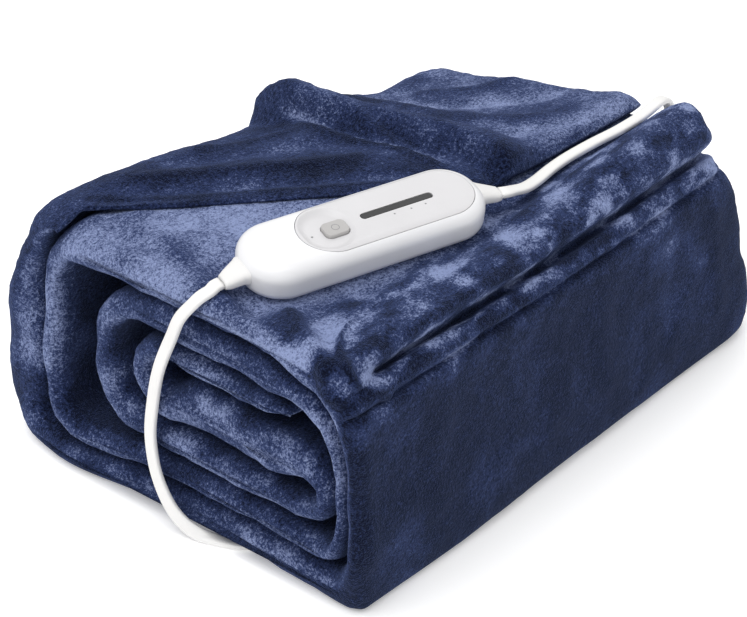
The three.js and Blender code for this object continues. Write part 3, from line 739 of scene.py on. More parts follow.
def carve(work: Item, tool: Item, cut: Cut) -> None:
    """Cuts one solid with another and drops the tool.

    Args:
        work: The object whose mesh changes.
        tool: The solid that cuts it.
        cut: Whether the shared space goes or stays.
    """
    step = work.modifiers.new("cut", "BOOLEAN")
    step.operation = cut.value
    step.object = tool
    step.solver = "EXACT"
    ready = work.evaluated_get(bpy.context.evaluated_depsgraph_get())
    mesh = bpy.data.meshes.new_from_object(ready)
    work.modifiers.clear()
    work.data = mesh
    bpy.data.objects.remove(tool)


@dataclass
class Controller:
    """Hand controller: shell, face plate with a scoop round the button, button, window and marks."""

    corner: float = 20.0
    top_radius: float = 8.0
    foot_radius: float = 5.5
    face: tuple = (12.5, 97.0, 34.0, 2.6)
    scoop: tuple = (-21.0, 0.0, 27.0, 30.5, 13.0)
    scoop_walls: tuple = ((5.6, 2.0), (4.0, 1.9), (2.8, 1.5), (1.8, 0.95), (0.9, 0.4), (0.3, 0.08),
                          (0.0, -0.05), (0.0, -3.0))
    lamp: tuple = (-29.2, -0.6)
    lamp_radius: float = 0.6
    button: tuple = (-16.5, -0.7, 13.0, 10.0, 3.0)
    button_below: float = 0.1
    button_height: float = 3.4
    travel: float = 1.0
    pocket_room: float = 0.4
    window: tuple = (18.7, 0.3, 40.5, 3.8, 1.6)
    window_height: float = 1.4
    window_below: float = 0.1
    print_lift: float = 0.02
    tool_reach: float = 3.0
    dots: tuple = ((14.6, -4.6), (24.2, -4.6), (32.4, -4.6))
    around: int = 160
    sharp: float = 32.0
    ring_points: int = 40

    def outline(self, length: float, width: float, radius: float, count: int) -> Array:
        """Even points round a rectangle with rounded corners.

        Args:
            length: Size along X.
            width: Size along Y.
            radius: Radius of the corners.
            count: How many points.

        Returns:
            The points, clockwise, one row each.
        """
        radius = min(radius, length / 2 - 0.01, width / 2 - 0.01)
        corners = []
        for turn, (sx, sy) in enumerate(((1, 1), (-1, 1), (-1, -1), (1, -1))):
            a = np.radians(np.linspace(90 * turn, 90 * turn + 90, 33))
            corners.append(np.stack([sx * (length / 2 - radius) + radius * np.cos(a),
                                     sy * (width / 2 - radius) + radius * np.sin(a)], axis=1))
        path = np.vstack(corners + [corners[0][:1]])
        run = np.concatenate([[0], np.cumsum(np.linalg.norm(np.diff(path, axis=0), axis=1))])
        at = np.linspace(0, run[-1], count, endpoint=False)
        return np.stack([np.interp(at, run, path[:, 0]), np.interp(at, run, path[:, 1])], axis=1)[::-1]

    def stack(self, name: str, levels: list, finish: Paint, count: int) -> Item:
        """Solid through levels of rounded rectangles.

        Args:
            name: Name of the object.
            levels: Length, width, radius, centre x, centre y and z of each, bottom first.
            finish: Its material.
            count: Points round each level.

        Returns:
            The object.
        """
        rings = []
        for length, width, radius, x, y, z in levels:
            flat = self.outline(length, width, radius, count) + np.array([x, y])
            rings.append(np.hstack([flat, np.full((count, 1), z)]))
        return loft(name, PLACE.out(np.array(rings)), finish)

    def hull(self, name: str, finish: Paint) -> Item:
        """The controller's outer form.

        Args:
            name: Name of the object.
            finish: Its material.

        Returns:
            The solid, with a small round at the foot and a larger one at the top.
        """
        arc = np.radians(np.linspace(0, 90, 13))
        half = PLACE.height / 2
        foot, shoulder = self.foot_radius, self.top_radius
        levels = [(foot * (1 - math.sin(a)), foot * (1 - math.cos(a)) - half) for a in arc]
        levels += [(shoulder * (1 - math.cos(a)), half - shoulder * (1 - math.sin(a))) for a in arc]
        plan = (0, 0, PLACE.length, PLACE.width, self.corner)
        return self.edged(name, plan, tuple((inset, inset, z) for inset, z in levels), finish, self.around)

    def edged(self, name: str, plan: tuple, levels: tuple, finish: Paint, count: int = 96) -> Item:
        """Solid of one rounded plan.

        Args:
            name: Name of the object.
            plan: Centre x, centre y, length, width and corner radius.
            levels: Inset of the sides, loss of the corners and z of each, bottom first.
            finish: Its material.
            count: Points round each level.

        Returns:
            The object.
        """
        x, y, length, width, radius = plan
        return self.stack(name, [(length - 2 * inset, width - 2 * inset, radius - less, x, y, z)
                                 for inset, less, z in levels], finish, count)

    def column(self, plan: tuple, grow: float, bottom: float, finish: Paint) -> Item:
        """Upright tool solid that reaches past the top."""
        ends = (bottom, PLACE.height / 2 + self.tool_reach)
        return self.edged("tool", plan, tuple((-grow, -grow, z) for z in ends), finish)

    def settle(self, obj: Item, body: str, slot: str, node: str = "") -> None:
        """Attaches a finished piece to its body, and hides the CAD node that it replaces.

        Args:
            obj: The piece.
            body: The body that it rides on.
            slot: The slot of its material; not used.
            node: The CAD node that it replaces, if any; such a piece keeps its sharp edges.
        """
        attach(obj, body)
        if node:
            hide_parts(node)
            obj.data.polygons.foreach_set("use_smooth", [True] * len(obj.data.polygons))
            obj.data.set_sharp_from_angle(angle=math.radians(self.sharp))

    def build(self, shell: Paint, plate: Paint, key: Paint, glass: Paint, ink: Paint) -> None:
        """Makes every piece of the controller.

        Args:
            shell: Material of the housing.
            plate: Material of the face plate.
            key: Material of the button.
            glass: Material of the window.
            ink: Material of the printed marks.
        """
        top = PLACE.height / 2
        face_x, face_length, face_width, thick = self.face
        face = (face_x, 0.0, face_length, face_width, face_width / 2)
        key_top = top - self.button_below
        key_low = key_top - self.button_height
        pocket = key_low - self.travel - self.pocket_room
        glass_top = top - self.window_below
        glass_low = glass_top - self.window_height

        body = self.hull("controller_shell", shell)
        carve(body, self.column(face, GAP, top - thick - GAP, shell), Cut.AWAY)
        carve(body, self.column(self.button, GAP, pocket, shell), Cut.AWAY)
        self.settle(body, "bundle", "shell", "controller_body")

        panel = self.hull("controller_plate", plate)
        carve(panel, self.column(face, 0.0, top - thick, plate), Cut.KEEP)
        walls = tuple((inset, inset, top - depth) for inset, depth in self.scoop_walls)
        carve(panel, self.edged("tool", self.scoop, walls, plate, self.around), Cut.AWAY)
        carve(panel, self.column(self.button, GAP, pocket, plate), Cut.AWAY)
        carve(panel, self.column(self.window, GAP, glass_low - GAP, plate), Cut.AWAY)
        self.settle(panel, "bundle", "plate", "face_plate")

        edges = ((0.3, 0.3, key_low), (0.0, 0.0, key_low + 0.3), (0.0, 0.0, key_top - 0.8),
                 (0.125, 0.0, key_top - 0.35), (0.4, 0.3, key_top - 0.08), (0.8, 0.6, key_top))
        cap = self.edged("press_button", self.button, edges, key)
        self.settle(cap, "button", "button", "button")
        mark = self.ring("button_mark", (*self.button[:2], key_top + self.print_lift), 2.1, 1.75, ink)
        self.settle(mark, "button", "button")

        edges = ((0.0, 0.0, glass_low), (0.0, 0.0, glass_top - 0.25), (0.15, 0.0, glass_top))
        lens = self.edged("window_lens", self.window, edges, glass)
        self.settle(lens, "bundle", "window", "indicator_window")
        for i, place in enumerate(self.dots):
            dot = self.ring(f"level_dot_{i + 1}", (*place, top + self.print_lift), 0.5, 0.0, ink)
            self.settle(dot, "bundle", "plate")
        insets, depths = zip(*reversed(self.scoop_walls[:-1]))
        inset = self.lamp[0] - self.scoop[0] + self.scoop[2] / 2
        low = top - float(np.interp(inset + self.lamp_radius, insets, depths))
        dot = self.ring("lamp_dot", (*self.lamp, low + 3 * self.print_lift), self.lamp_radius, 0.0, ink)
        self.settle(dot, "bundle", "plate")

    def ring(self, name: str, place: tuple, outer: float, inner: float, finish: Paint) -> Item:
        """Thin printed ring or dot that lies on a face.

        Args:
            name: Name of the object.
            place: Its centre in the controller's frame.
            outer: Outer radius.
            inner: Inner radius, or 0 for a dot.
            finish: Its material.

        Returns:
            The object.
        """
        count = self.ring_points
        a = 2 * np.pi * np.arange(count) / count
        circle = np.stack([np.cos(a), np.sin(a), np.zeros(count)], axis=1)
        rim = np.array(place) + circle * outer
        if inner <= 0:
            return new_object(name, PLACE.out(rim), [tuple(range(count))], finish)
        points = np.vstack([rim, np.array(place) + circle * inner])
        faces = [(i, (i + 1) % count, count + (i + 1) % count, count + i) for i in range(count)]
        return new_object(name, PLACE.out(points), faces, finish)


# ------------------------------------------------------------------ the folded throw


@dataclass(frozen=True)
class TopLayer:
    """Upper face of the uppermost full layer, before the slump."""

    height: float = 139.0
    back_rise: float = 2.5
    far_rise: float = 2.0
    underside: float = 125.0
    underside_dip: float = 6.0
    valley_depth: float = 5.0
    valley_y: float = 43.0
    valley_loss: float = 0.1
    valley_width: float = 15.0
    roll_near: float = 2.0
    roll_gain: float = 12.0
    roll_y: float = 12.0
    roll_shift: float = 10.0
    roll_width: float = 13.0

    def at(self, x: Array, y: Array) -> Array:
        """Form of the top.

        Args:
            x: Places along X.
            y: Places along Y.

        Returns:
            Their heights over the floor.
        """
        roll = self.roll_near + self.roll_gain * (np.maximum(0.0, x) / 300.0) ** 1.5
        roll_y = self.roll_y + self.roll_shift * smooth(120, 290, x)
        valley = self.valley_depth * smooth(10, 45, x) * (1 - self.valley_loss * smooth(150, 200, x))
        free = (self.height + self.back_rise * smooth(60, 110, y) + self.far_rise * smooth(150, 250, x)
                - valley * bell(y, self.valley_y, self.valley_width)
                + roll * bell(y - roll_y, 0, self.roll_width) * smooth(0, 22, x))
        seat, weight = PLACE.seat(x, y)
        return mix(free, seat, weight)


@dataclass(frozen=True)
class Lid:
    """The strip's last length, turned over the back onto the top layer."""

    tip_front: float = 55.0
    tip_start: float = 203.0
    tip_slope: float = 0.86
    tip_back: float = 190.0
    hem_y: float = 196.0
    tip_share: float = 0.35
    thin_edge: float = 2.2
    thin_body: float = 5.0
    full_body: float = 9.0
    full_gain: float = 2.0
    far_lift: float = 1.0
    cuff_top: float = 8.0
    cuff_full: float = 13.0
    cuff_end: float = 36.0

    def tip(self, x: Array) -> Array:
        """The lid's free edge."""
        return np.minimum(self.tip_back, np.maximum(self.tip_front, self.tip_start - self.tip_slope * x))

    @staticmethod
    def cuff_edge(y: Array) -> Array:
        """Where the turned-over corner's hem crosses the lid."""
        return 160 + 22 * smooth(180, 82, y) - 9 * smooth(72, 50, y)

    def cuff_height(self, x: Array, y: Array) -> Array:
        """Height of the turned-over corner: steep at its hem, long on the far side."""
        past = x - self.cuff_edge(y)
        return self.cuff_top * smooth(0, 6, past) * (1 - smooth(self.cuff_full, self.cuff_end, past))

    def thickness(self, x: Array, y: Array) -> Array:
        """How thick the lid lies.

        Args:
            x: Places along X.
            y: Places along Y.

        Returns:
            The lid's thickness there, with the turned-over corner.
        """
        full = smooth(0, 8, x - self.cuff_edge(y))
        thin = mix(self.thin_edge, self.thin_body, smooth(0, 40, y - self.tip(x)))
        body = self.full_body + self.full_gain * smooth(80, 190, y)
        return mix(thin, body, full) + self.cuff_height(x, y)


class Zone(Enum):
    """Stretches of the strip, in order from the lid's free edge to the core's tip."""

    LID = "lid"
    BACK = "back"
    BOTTOM = "bottom"
    FRONT = "front"
    TUCKS = "tucks"
    TOP = "top"
    INNER = "inner"


# Rows of the strip's middle line in the open end's plane: y, z, cloth outside, cloth inside.
# A negative outside is a groove: it starts as its neighbours' mean at the open end and deepens along X.
BACK_ROWS = (
    (208, 135, 7, 6), (213, 124, 7, 6), (220.5, 110, 8, 7), (226, 93, 10, 9.5),
    (229.5, 74, 14, 13.5), (230, 48, 17, 15.5), (229, 27, 16.5, 14), (221, 13, 15, 9),
)
BOTTOM_ROWS = (
    (200, 9, 9, 6.5), (130, 9, 9, 8), (98, 9.2, 9.2, 8.5), (88, 9.3, 9.3, 8.8), (74, 9.4, 9.4, 9.2),
    (60, 9.5, 9.5, 9.5), (50, 9.8, 9.8, 9.5), (22, 10.5, 10.5, 9.5),
)
FRONT_ROWS = ((3.5, 13, 14.5, 9), (-5, 32, 5, 4.5), (-4, 62, 4, 4), (-3, 92, 5, 4.5), (0, 105, 8.5, 6))
TUCK_ROWS = (
    (1.8, 109.5, 9.3, 6.5), (2.7, 111.6, 6, 7), (3.7, 113.5, 9.6, 7.5), (5.2, 116.3, 9.6, 8),
    (7.2, 118.8, 9.4, 8), (8.6, 120.3, -1, 8), (10.2, 121.6, 14.4, 8), (14, 124, 16, 7),
)
# Places of the top layer's rows from front to back.
TOP_Y = (22, 33, 45, 57, 70, 84, 98, 116, 138, 156, 164, 173)
INNER_ROWS = (
    (185, 131, 8, 6.5), (193.5, 125, 7.5, 6.5), (200, 115.5, 7, 6.5), (204.5, 102, 6.5, 6.5),
    (205.5, 75, 6.5, 6.5), (205, 49, 6.5, 6.5), (200, 34, 7, 6),
    (185, 25, 7, 6.5), (130, 26, 7, 7), (60, 28.5, 7, 6.5), (20, 29.3, 7, 5.5),
    (10, 32, 5, 4), (4.6, 44, 2.6, 2.6), (4.4, 70, 2.6, 2.6), (6, 90, 2.8, 3), (12.5, 103, 4, 4.5),
    (24, 110, 6, 6), (42, 113.5, 8.6, 8.6), (84, 114, 9, 9.3), (118, 115.5, 9, 9.3),
    (137, 115, 8.5, 8.5), (151, 110, 8, 7.5), (160.5, 99, 7.5, 7), (164.5, 83, 7.3, 8),
    (164.7, 66, 8.3, 8.5), (160.5, 53, 8.5, 8.5),
    (148, 46, 8.5, 8), (116, 44.5, 8, 8), (60, 46, 8, 7.5), (34, 46.5, 7.5, 6),
    (22, 49, 6.5, 4), (16, 56, 5.5, 3), (16.5, 66, 6, 3.5),
    (27, 71, 11, 8), (46, 70.5, 13.3, 13), (80, 70.5, 14, 13), (106, 71, 13, 13.5),
    (121, 67, 6.5, 9), (132, 71.5, 6, 8), (137, 82, 6.3, 7.5), (132, 92, 5.5, 7),
    (119, 96.5, 6, 6.5), (94, 96.5, 6.5, 6.5), (68, 97.2, 6.5, 6), (48, 99, 4, 4), (33, 100.5, 1.8, 1.8),
)
# Places of the lid's rows, from its free edge to the hem.
LID_SHARES = (0, 0.06, 0.2, 0.45, 0.7, 0.88, 1)


@dataclass(frozen=True)
class Crease:
    """A line pressed into the cloth, or a ridge when its depth is negative, with painted shade or painted
    highlight along it.
    """

    line: tuple
    depth: float
    width: float
    painted_shading: float = 0.0
    surface: str = "space"

    def effect(self, points: Array, line: Array) -> tuple[Array, Array]:
        """How far the crease moves points along their normals, and the painted shade or highlight that it adds.

        Args:
            points: Places on the cloth, one row each.
            line: The crease's line in the same frame.

        Returns:
            The outward push in millimetres, and the painted shade (below 0) or painted highlight (above 0) for
            the lay.
        """
        push = np.zeros(len(points))
        painted_shading = np.zeros(len(points))
        reach = 3.0 * self.width
        near = np.all((points > line.min(axis=0) - reach) & (points < line.max(axis=0) + reach), axis=1)
        if near.any():
            distance, along = polyline_distance(points[near], line)
            taper = smooth(0, 0.12, along) * (1 - smooth(0.85, 1, along))
            strength = bell(distance, 0, self.width) * taper
            push[near] = -self.depth * strength
            painted_shading[near] = self.painted_shading * strength
        return push, painted_shading


# Creases by surface: lines of "space" are x, y, z; those of "lid" and "top" are x, y.
# Each crease: line, depth, width, painted shade (negative) or painted highlight (positive), surface.
CREASES = (
    Crease(((20, 60, 140), (9, 42, 138), (1, 27, 138), (-4, 13, 134), (-6, 4, 125)), 4.0, 4.4, -0.45),
    Crease(((29, -2.7, 114.2), (17.8, -4.2, 116.7), (6.9, -1.9, 122.8), (0.6, 0.3, 129.7),
            (-1, 4.2, 135.6), (6.9, 15.4, 139), (17.6, 22.5, 139.2), (37, 29, 137)), 3.0, 1.9, -0.6),
    Crease(((-6.5, 15.2, 122.1), (-6.5, 5.8, 123.3), (-2.5, -0.8, 122)), 2.2, 3.4, -0.45),
    Crease(((30.9, 2, 135.3), (49.9, 3.1, 136.8), (71.6, 3, 136.9), (93.3, 2.8, 137),
            (123, 1, 134.1), (155.5, 0.9, 133.5)), 1.8, 3.2, -0.42),
    Crease(((22.8, -1.2, 124.3), (44.8, -2.9, 121.7), (72.2, -3.8, 120.5), (116.2, -4.6, 119.3),
            (166.5, -4.3, 117), (217.7, -3.8, 116.2)), 1.2, 3.4, -0.45),
    Crease(((25.5, 4.8, 126.6), (47.3, 6.6, 124.1), (66.5, 4.9, 122.4), (93.2, 1.2, 124.9),
            (120.4, -1.4, 124.5), (152.8, -0.4, 125.5)), -0.5, 1.9, 0.32),
    Crease(((2, 52), (20, 50), (40, 46), (62, 44)), 0.8, 12.0, -0.48, "top"),
    Crease(((159.5, 197), (159.5, 166), (160, 147), (163, 131), (168, 116), (171, 102), (172, 78)),
           -1.7, 2.2, 0.45, "lid"),
    Crease(((155, 197), (155, 166), (155.5, 147), (158, 131), (162.5, 116), (165.5, 102), (166.5, 76)),
           2.2, 2.2, -0.5, "lid"),
    Crease(((172, 197), (172, 170), (174, 150), (179, 130), (185, 100)), -0.3, 7.0, 0.2, "lid"),
    Crease(((34, 55, 140), (20, 34, 141), (9, 18, 140), (4, 6, 131)), -2.0, 6.0, 0.22),
    Crease(((15, 200), (60, 161), (100, 127), (148, 86)), 1.0, 2.6, -0.3, "lid"),
    Crease(((19, 192), (70, 158), (111, 122), (160, 84)), -1.6, 6.0, 0.2, "lid"),
    Crease(((40, 196), (80, 170), (120, 138), (158, 112)), 2.6, 5.5, -0.3, "lid"),
    Crease(((66, 196), (104, 174), (135, 154), (157, 140)), -2.0, 7.0, 0.22, "lid"),
    Crease(((92, 197), (125, 182), (156, 170)), 2.2, 5.0, -0.25, "lid"),
    Crease(((196, 196), (215, 160), (222, 128), (236, 98), (262, 70)), 2.6, 8.0, -0.32, "lid"),
    Crease(((222, 190), (240, 150), (262, 120), (296, 92)), -2.4, 9.0, 0.28, "lid"),
    Crease(((248, 180), (270, 150), (300, 132)), 2.2, 7.0, -0.25, "lid"),
    Crease(((206, 82), (232, 74), (262, 60), (298, 57)), -1.6, 5.0, 0.25, "lid"),
    Crease(((30, 36), (70, 33), (110, 35), (150, 34)), 1.6, 5.0, -0.3, "top"),
    Crease(((70, 20), (110, 24), (160, 22), (215, 27)), -1.2, 5.0, 0.15, "top"),
    Crease(((150, 26), (185, 33), (225, 31), (270, 36)), 1.8, 4.5, -0.3, "top"),
    Crease(((8, 70), (16, 108), (26, 140), (22, 168)), 1.6, 7.0, -0.25, "top"),
    Crease(((0, -9, 96), (2, -9, 60), (4, -9, 22)), 1.2, 4.5, -0.3),
    Crease(((58, -8, 104), (52, -9, 70), (60, -11, 30)), 1.2, 9.0, -0.14),
    Crease(((122, -8, 104), (130, -9, 64), (124, -11, 24)), -1.2, 12.0, 0.15),
    Crease(((190, -8, 106), (184, -9, 70), (196, -11, 28)), 1.4, 9.0, -0.15),
    Crease(((246, -8, 108), (252, -9, 76), (246, -11, 30)), -1.3, 10.0, 0.16),
    Crease(((284, -8, 108), (292, -9, 70), (300, -11, 26)), 1.5, 8.0, -0.18),
    Crease(((222, -8, 104), (262, -8, 90), (286, -8, 64)), -0.3, 8.0, 0.24),
)
# The mains lead over the top, X then Y, where the cloth lies smooth.
LEAD_LINE = ((157, 177, 206, 244, 285, 309), (42, 41.4, 46.4, 47, 44.2, 46.8))
# Points of a ring over which a zone's nap blends into the next.
BLUR = 9
# How light each zone is, from 0 (dark) to 1 (light): the brushed nap's tone, with painted light on the top and
# painted shade on the front and bottom.
ZONE_NAP_AND_SHADE = {
    Zone.LID: 0.43, Zone.BACK: 0.42, Zone.BOTTOM: 0.26, Zone.FRONT: 0.13,
    Zone.TUCKS: 0.42, Zone.TOP: 0.66, Zone.INNER: 0.44,
}


@dataclass
class Throw:
    """The plush throw, folded and rolled into a bundle: one closed skin along X."""

    foot_length: float = 345.0
    top_length: float = 304.0
    end_lean: float = 41.0
    lean_height: float = 125.0
    end_out: float = 7.0
    end_skew: float = 11.0
    layer_gap: float = 0.8
    soft_left: float = 9.0
    soft_right: float = 14.0
    pinch_length: float = 30.0
    pinch_width: float = 0.06
    pinch_height: float = 0.02
    width_centre: float = 120.0
    slump_start: float = 150.0
    slump_end: float = 255.0
    slump_front: float = 40.0
    slump_back: float = 190.0
    slump_share: float = 0.225
    climb: float = 5.0
    hem_rise: float = 2.5
    hem_corner: float = 7.0
    hem_dip: float = 10.0
    foot_out: float = 2.5
    front_draw: float = 6.0
    arch_depth: float = 4.6
    top: TopLayer = field(default_factory=TopLayer)
    lid: Lid = field(default_factory=Lid)
    outer_step: float = 2.6
    inner_step: float = 7.0
    tuck_step: float = 1.6
    along_step: float = 2.7
    count_at: float = 190.0
    soft_least: float = 0.16

    def table(self, x: float) -> tuple[Array, list]:
        """The strip's middle line at one place along the bundle.

        Args:
            x: Place along the bundle.

        Returns:
            The rows (y, z, cloth outside, cloth inside), and each row's zone.
        """
        rows: list = []
        zones: list = []

        def put(zone: Zone, table: list) -> None:
            """Adds rows that belong to a zone."""
            rows.extend(table)
            zones.extend([zone] * len(table))

        air = self.layer_gap + self.lid.far_lift * smooth(150, 190, x)
        tip = self.lid.tip(x)
        lid_rows = []
        for share in LID_SHARES:
            y = mix(tip, self.lid.hem_y, share)
            thick = self.lid.thickness(x, y)
            half = thick * (self.lid.tip_share if share == 0 else 1.0) / 2
            lid_rows.append((y, self.top.at(x, y) + air + half, half, half))
        put(Zone.LID, lid_rows)
        cuff = self.lid.cuff_height(x, self.lid.hem_y)
        first = BACK_ROWS[0]
        put(Zone.BACK, [(first[0], first[1] + cuff / 2, first[2] + cuff / 2, first[3]), *BACK_ROWS[1:]])
        arch = self.arch_depth * (1 - smooth(18, 28, x))
        put(Zone.BOTTOM, [(y, z, outer - arch * smooth(50, 60, y) * (1 - smooth(88, 98, y)), inner)
                          for y, z, outer, inner in BOTTOM_ROWS])
        put(Zone.FRONT, list(FRONT_ROWS))
        depth = smooth(14, 38, x)
        lift = max(0.0, self.top.at(x, 20.0) - self.top.height)
        tuck_rows = []
        for i, (y, z, outer, inner) in enumerate(TUCK_ROWS):
            near = TUCK_ROWS[max(0, i - 1)][2], TUCK_ROWS[min(len(TUCK_ROWS) - 1, i + 1)][2]
            half = mix(0.5 * sum(near) + 0.5, outer, depth) if outer < 0 else outer
            tuck_rows.append((y, z, half + lift * 0.6 * (i / len(TUCK_ROWS)) ** 2, inner))
        put(Zone.TUCKS, tuck_rows)
        top_rows = []
        for y in TOP_Y:
            top = self.top.at(x, y)
            under = self.top.underside - self.top.underside_dip * (1 - smooth(18, 42, y))
            top_rows.append((y, (top + under) / 2, (top - under) / 2, (top - under) / 2))
        put(Zone.TOP, top_rows)
        put(Zone.INNER, list(INNER_ROWS))
        return np.array(rows, float), zones

    def sides(self, x: float) -> tuple[Array, Array, list]:
        """Both sides of the strip's section.

        Args:
            x: Place along the bundle.

        Returns:
            Rows (place, way to the surface) of the outer and the inner side, and each row's zone.
        """
        rows, zones = self.table(x)
        place = rows[:, :2]
        ahead = np.vstack([place[1:], place[-1:] * 2 - place[-2:-1]]) - place
        behind = place - np.vstack([place[:1] * 2 - place[1:2], place[:-1]])
        la = np.sqrt(np.linalg.norm(ahead, axis=1, keepdims=True))
        lb = np.sqrt(np.linalg.norm(behind, axis=1, keepdims=True))
        heading = behind / lb**2 * la + ahead / la**2 * lb
        heading /= np.linalg.norm(heading, axis=1, keepdims=True)
        normal = np.stack([-heading[:, 1], heading[:, 0]], axis=1)
        return (np.hstack([place, normal * rows[:, 2:3]]), np.hstack([place, -normal * rows[:, 3:4]]), zones)

    def counts(self) -> tuple[list, list, list]:
        """Samples on each span of the strip's section.

        Returns:
            The samples of the outer and of the inner side, and each row's zone.
        """
        outer, inner, zones = self.sides(self.count_at)
        fine = {Zone.LID, Zone.BACK, Zone.FRONT, Zone.TUCKS, Zone.TOP}
        result = []
        for outside, rows in ((True, outer), (False, inner)):
            steps = []
            spans = np.linalg.norm(np.diff(rows[:, :2] + rows[:, 2:], axis=0), axis=1)
            for span, zone in zip(spans, zones):
                if not (outside and zone in fine):
                    steps.append(max(1, round(span / self.inner_step)))
                else:
                    step = self.tuck_step if zone is Zone.TUCKS else self.outer_step
                    steps.append(max(2, round(span / step)))
            result.append(steps)
        return result[0], result[1], zones

    def stations(self) -> Array:
        """Places of the rings along the bundle.

        Returns:
            The places, closer together at both ends.
        """
        near = [0, 0.5, 1.2, 2.1, 3.2, 4.5, 6, 7.6, 9.4, 11.5, 13.8]
        far = [0, 0.5, 1.2, 2.2, 3.5, 5, 6.8, 8.8, 11, 13.4, 16, 18.6]
        middle = np.arange(16.2, self.top_length - 20, self.along_step)
        return np.concatenate([near, middle, self.top_length - np.array(far[::-1])])

    @staticmethod
    def rounding(distance: Array, radius: float, least: float) -> Array:
        """Quarter-round share of full size at a distance from an end."""
        t = np.clip(distance / radius, 0.0, 1.0)
        return np.maximum(least, np.sqrt(1 - (1 - t) ** 2))

    def far_end(self, z: Array) -> Array:
        """Length of the bundle at a height."""
        lean = self.end_lean * (np.maximum(0, z) / self.lean_height) ** 1.5
        return np.maximum(self.top_length, self.foot_length - lean)

    def settle(self, x: Array, y: Array, z: Array, pinch: Array) -> Array:
        """Lets the strip's straight sections slump, climb and lean into the bundle's form.

        Args:
            x: Nominal places along the bundle.
            y: Nominal places across it.
            z: Nominal heights.
            pinch: How far each is drawn together at the far end, from 0 to 1.

        Returns:
            The points in the bundle frame.
        """
        back = np.clip((y - self.slump_front) / (self.slump_back - self.slump_front), 0, 1)
        slump = self.slump_share * back * smooth(self.slump_start, self.slump_end, x)
        climb = self.climb * (1 - smooth(14, 48, y)) * smooth(60, 118, z) * smooth(150, 290, x)
        edge = smooth(158, 196, y) * smooth(90, 135, z)
        hem = (self.hem_rise * (1 - smooth(40, 80, x)) - self.hem_corner * (1 - smooth(-4, 20, x))
               - self.hem_dip * smooth(75, 150, x) * (1 - smooth(155, 162, x)))
        low = (z * (1 - slump) + climb + edge * hem) * (1 - self.pinch_height * pinch)
        narrow = self.width_centre + (y - self.width_centre) * (1 - self.pinch_width * pinch)
        foot = self.foot_out * (1 - smooth(0, 20, y)) * (1 - smooth(0, 45, z)) * bell(x, 68, 50)
        near = -self.end_out - self.end_skew * bell(y, 190, 45) * (1 - smooth(0, 70, z))
        draw = self.front_draw * (1 - smooth(0, 42, y)) * smooth(95, 125, z)
        along = mix(near, self.far_end(z) - draw, x / self.top_length)
        return np.stack([along, narrow - foot, np.maximum(low, 0.0)], axis=-1)

    def skin(self) -> tuple[Array, list]:
        """Lays the skin's rings.

        Returns:
            The points (rings, points, 3), and the zone of each point of a ring's outer side.
        """
        outer_counts, inner_counts, zones = self.counts()
        stations = self.stations()
        left = self.top_length - stations
        soft = np.minimum(self.rounding(stations, self.soft_left, self.soft_least),
                          self.rounding(left, self.soft_right, self.soft_least))[:, None, None]
        pinch = 1 - self.rounding(left, self.pinch_length, 0.0)[:, None]
        outer, inner = (np.array(rows) for rows in zip(*(self.sides(float(x))[:2] for x in stations)))
        edges = [rounded_path(rows[..., :2] + rows[..., 2:] * soft, counts)
                 for rows, counts in ((outer, outer_counts), (inner, inner_counts))]
        ring = np.concatenate([edges[0], edges[1][:, ::-1]], axis=1)
        points = self.settle(stations[:, None], ring[..., 0], ring[..., 1], pinch)
        labels = [zone for zone, count in zip(zones, outer_counts) for _ in range(count)] + [zones[-1]]
        return points, labels

    def on_surface(self, crease: Crease) -> Array:
        """Finds a crease's line on the cloth.

        Args:
            crease: The crease.

        Returns:
            Corners of its line in the bundle frame, one row each.
        """
        rows = np.array(crease.line, float)
        if crease.surface == "space":
            return rows
        fine = rounded_path(rows, [8] * (len(rows) - 1))
        x, y = fine[:, 0], fine[:, 1]
        z = self.top.at(x, y)
        if crease.surface == "lid":
            z = z + self.layer_gap + self.lid.far_lift * smooth(150, 190, x) + self.lid.thickness(x, y)
        return self.settle(x, y, z, np.zeros(len(x)))

    @staticmethod
    def normals(points: Array) -> Array:
        """Outward normals of a grid of rings.

        Args:
            points: The rings, shaped (rings, points, 3).

        Returns:
            One unit normal per point, in the same shape.
        """
        around = np.roll(points, -1, axis=1) - np.roll(points, 1, axis=1)
        along = np.gradient(points, axis=0)
        normal = np.cross(around, along)
        return normal / np.maximum(np.linalg.norm(normal, axis=2, keepdims=True), 1e-9)

